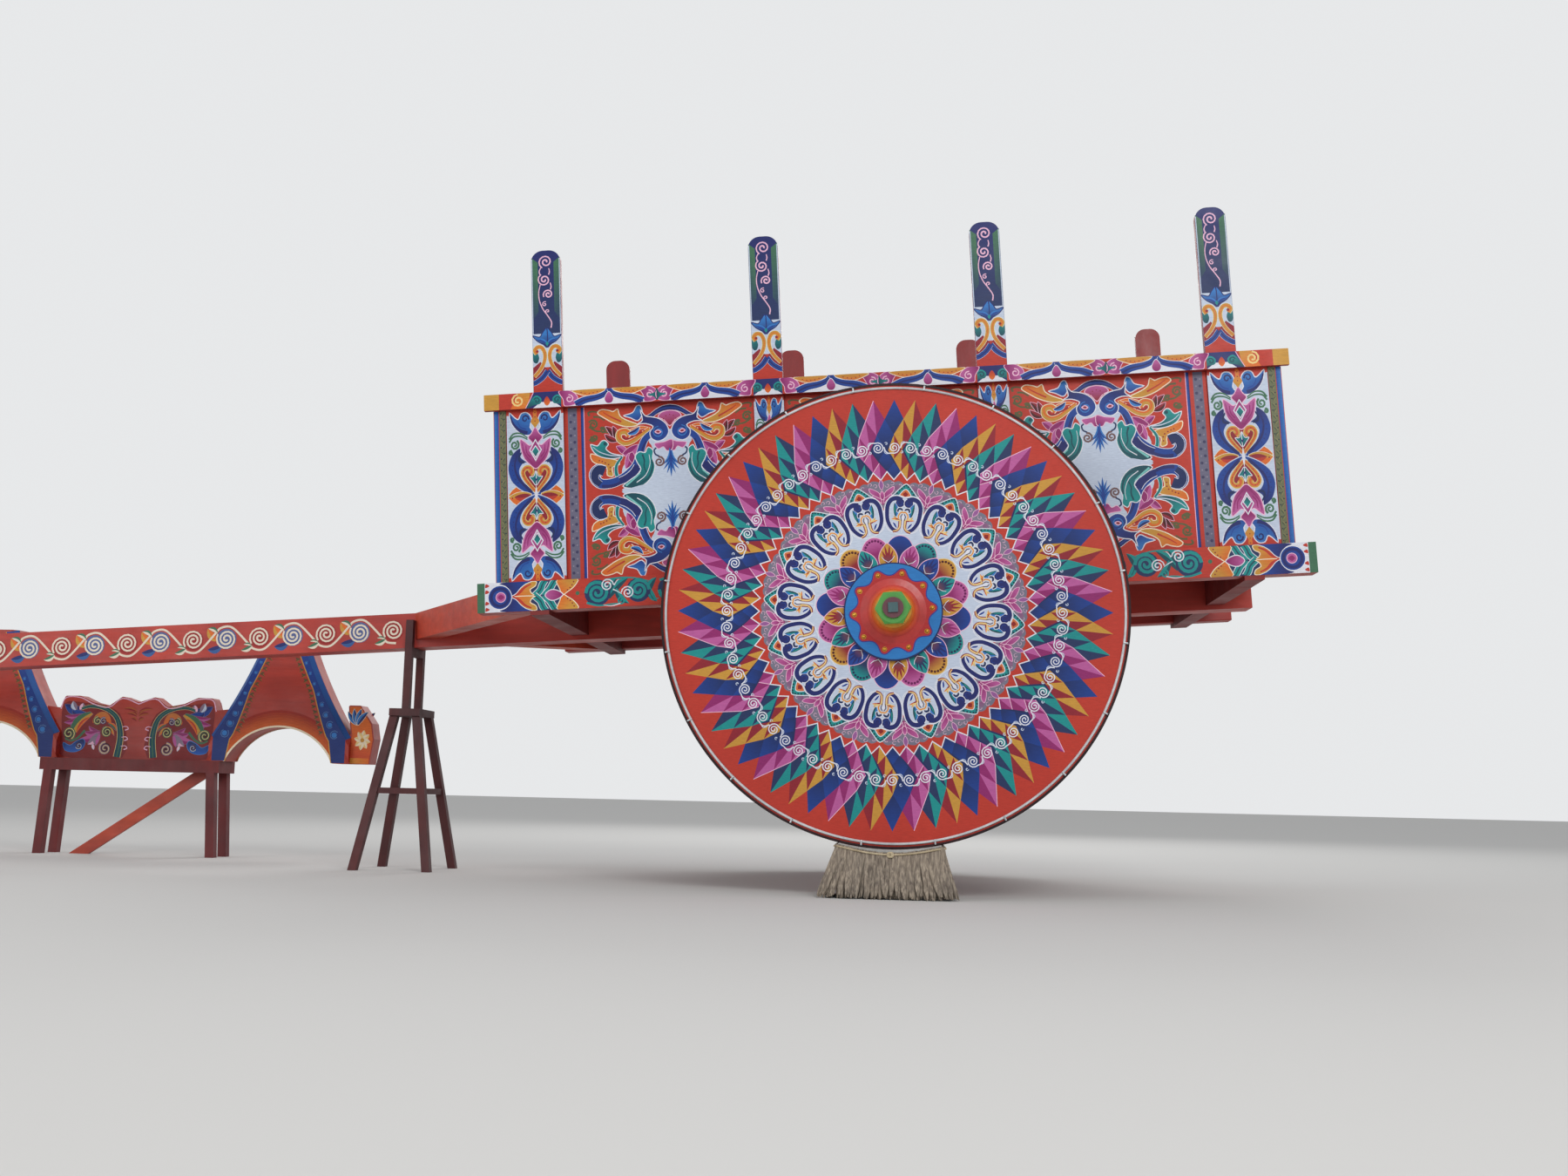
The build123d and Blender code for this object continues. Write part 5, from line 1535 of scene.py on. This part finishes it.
def makeLashing(side):
    # a light rope drawn round the skirt under its top edge, knotted at the front
    low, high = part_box(f"plinth_{side}")
    data = bpy.data.curves.new(f"skirtLashing_{side}", "CURVE")
    data.dimensions, data.bevel_depth, data.bevel_resolution = "3D", cord["radius"], cord["roundness"]
    spline = data.splines.new("NURBS")
    spline.points.add(cord["points"] - 1)
    for i in range(cord["points"]):
        spot, out, share = loopAround(low, high, i / cord["points"])
        place = spot + out * (skirt["gap"] + cord["away"])
        spline.points[i].co = (place.x, place.y, high.z - cord["drop"] - sagAt(out, share), 1)
    spline.use_cyclic_u = True
    spline.order_u = 3
    rope = linked(f"skirtLashing_{side}", data)
    deselect()
    rope.select_set(True)
    bpy.context.view_layer.objects.active = rope
    bpy.ops.object.convert(target="MESH")
    parts = [bpy.context.object]
    away = skirt["gap"] + cord["knotAway"]
    face = low.y - away if side == "left" else high.y + away
    middle, level = (low.x + high.x) / 2, high.z - cord["drop"] - skirt["sag"]
    for turnBy, dx in cord["knotLoops"]:
        deselect()
        bpy.ops.mesh.primitive_torus_add(location=(middle + dx, face, level),
                                         rotation=(radians(90), radians(turnBy), 0),
                                         major_radius=cord["knot"], minor_radius=cord["radius"],
                                         major_segments=cord["knotSides"][0],
                                         minor_segments=cord["knotSides"][1])
        parts.append(bpy.context.object)
    lashing = joinAll(parts, f"skirtLashing_{side}")
    lashing.data.materials.clear()
    lashing.data.materials.append(ropeMaterial)
    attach(lashing, "cart")


straw = strawMaterial()
ropeMaterial = solidPaint("ropeFibre", hue(206, 190, 158), hue(168, 150, 118), 0.85, (1, 1, 1), 60.0, 0.6)
for side in ("left", "right"):
    makeSkirt(side)
    makeLashing(side)
print("skirts made")

# Floor, light and camera
room = {"floorSize": 300, "floorGrey": (0.62, 0.61, 0.59), "floorRough": 0.9, "lens": 36.5, "sensor": 36.0,
        "far": 200, "camera": (0.095, -11.998, 0.61), "pitch": 7.49, "yaw": -4.517, "roll": 1.33,
        "lookAt": (1, 0, 1.6), "skyLight": (0.95, 0.97, 1.0), "skyStrength": 0.55,
        "backdrop": (0.80, 0.81, 0.82)}
lamps = (("keyLight", (9, -17, 12), 1380, 7), ("fillLight", (-12, -15, 7), 820, 9),
         ("backLight", (4, 14, 12), 850, 8))


def makeFloor():
    bpy.ops.mesh.primitive_plane_add(size=room["floorSize"], location=(0, 0, 0))
    floor = bpy.context.object
    floor.name = "studioFloor"
    material, tree, shader = nodesOf("paleFloor")
    shader.inputs["Base Color"].default_value = (*room["floorGrey"], 1)
    shader.inputs["Roughness"].default_value = room["floorRough"]
    floor.data.materials.append(material)


def makeCamera():
    data = bpy.data.cameras.new("camera")
    data.lens, data.sensor_width = room["lens"], room["sensor"]
    data.clip_end = room["far"]
    camera = linked("camera", data)
    yaw, pitch, roll = (radians(room[key]) for key in ("yaw", "pitch", "roll"))
    forward = Vector((sin(yaw) * cos(pitch), cos(yaw) * cos(pitch), sin(pitch)))
    right = Vector((cos(yaw), -sin(yaw), 0))
    up = right.cross(forward)
    rightRolled, upRolled = right * cos(roll) + up * sin(roll), up * cos(roll) - right * sin(roll)
    turn = Matrix((rightRolled, upRolled, -forward)).transposed()
    x, y, z = room["camera"]
    camera.matrix_world = Matrix.Translation((axleX + x, y, z)) @ turn.to_4x4()
    bpy.context.scene.camera = camera


def makeLight():
    for name, where, power, size in lamps:
        data = bpy.data.lights.new(name, "AREA")
        data.energy, data.size = power, size
        lamp = linked(name, data)
        lamp.location = where
        lamp.rotation_mode = "QUATERNION"
        lamp.rotation_quaternion = (Vector(room["lookAt"]) - Vector(where)).to_track_quat("-Z", "Y")
    world = bpy.data.worlds.new("studio")
    world.use_nodes = True
    bpy.context.scene.world = world
    tree = world.node_tree
    around = tree.nodes["Background"]
    around.inputs["Color"].default_value = (*room["skyLight"], 1)
    around.inputs["Strength"].default_value = room["skyStrength"]
    backdrop = add(tree, "ShaderNodeBackground", Color=(*room["backdrop"], 1), Strength=1.0)
    path = add(tree, "ShaderNodeLightPath")
    glossy = add(tree, "ShaderNodeMath", operation="MAXIMUM")
    clear = add(tree, "ShaderNodeMath", operation="MAXIMUM")
    choice = add(tree, "ShaderNodeMixShader")
    tree.links.new(path.outputs["Is Camera Ray"], glossy.inputs[0])
    tree.links.new(path.outputs["Is Glossy Ray"], glossy.inputs[1])
    tree.links.new(glossy.outputs[0], clear.inputs[0])
    tree.links.new(path.outputs["Is Transmission Ray"], clear.inputs[1])
    tree.links.new(clear.outputs[0], choice.inputs["Fac"])
    tree.links.new(around.outputs[0], choice.inputs[1])
    tree.links.new(backdrop.outputs[0], choice.inputs[2])
    tree.links.new(choice.outputs[0], tree.nodes["World Output"].inputs["Surface"])


makeFloor()
makeCamera()
makeLight()
bpy.context.scene.view_settings.view_transform = "Standard"
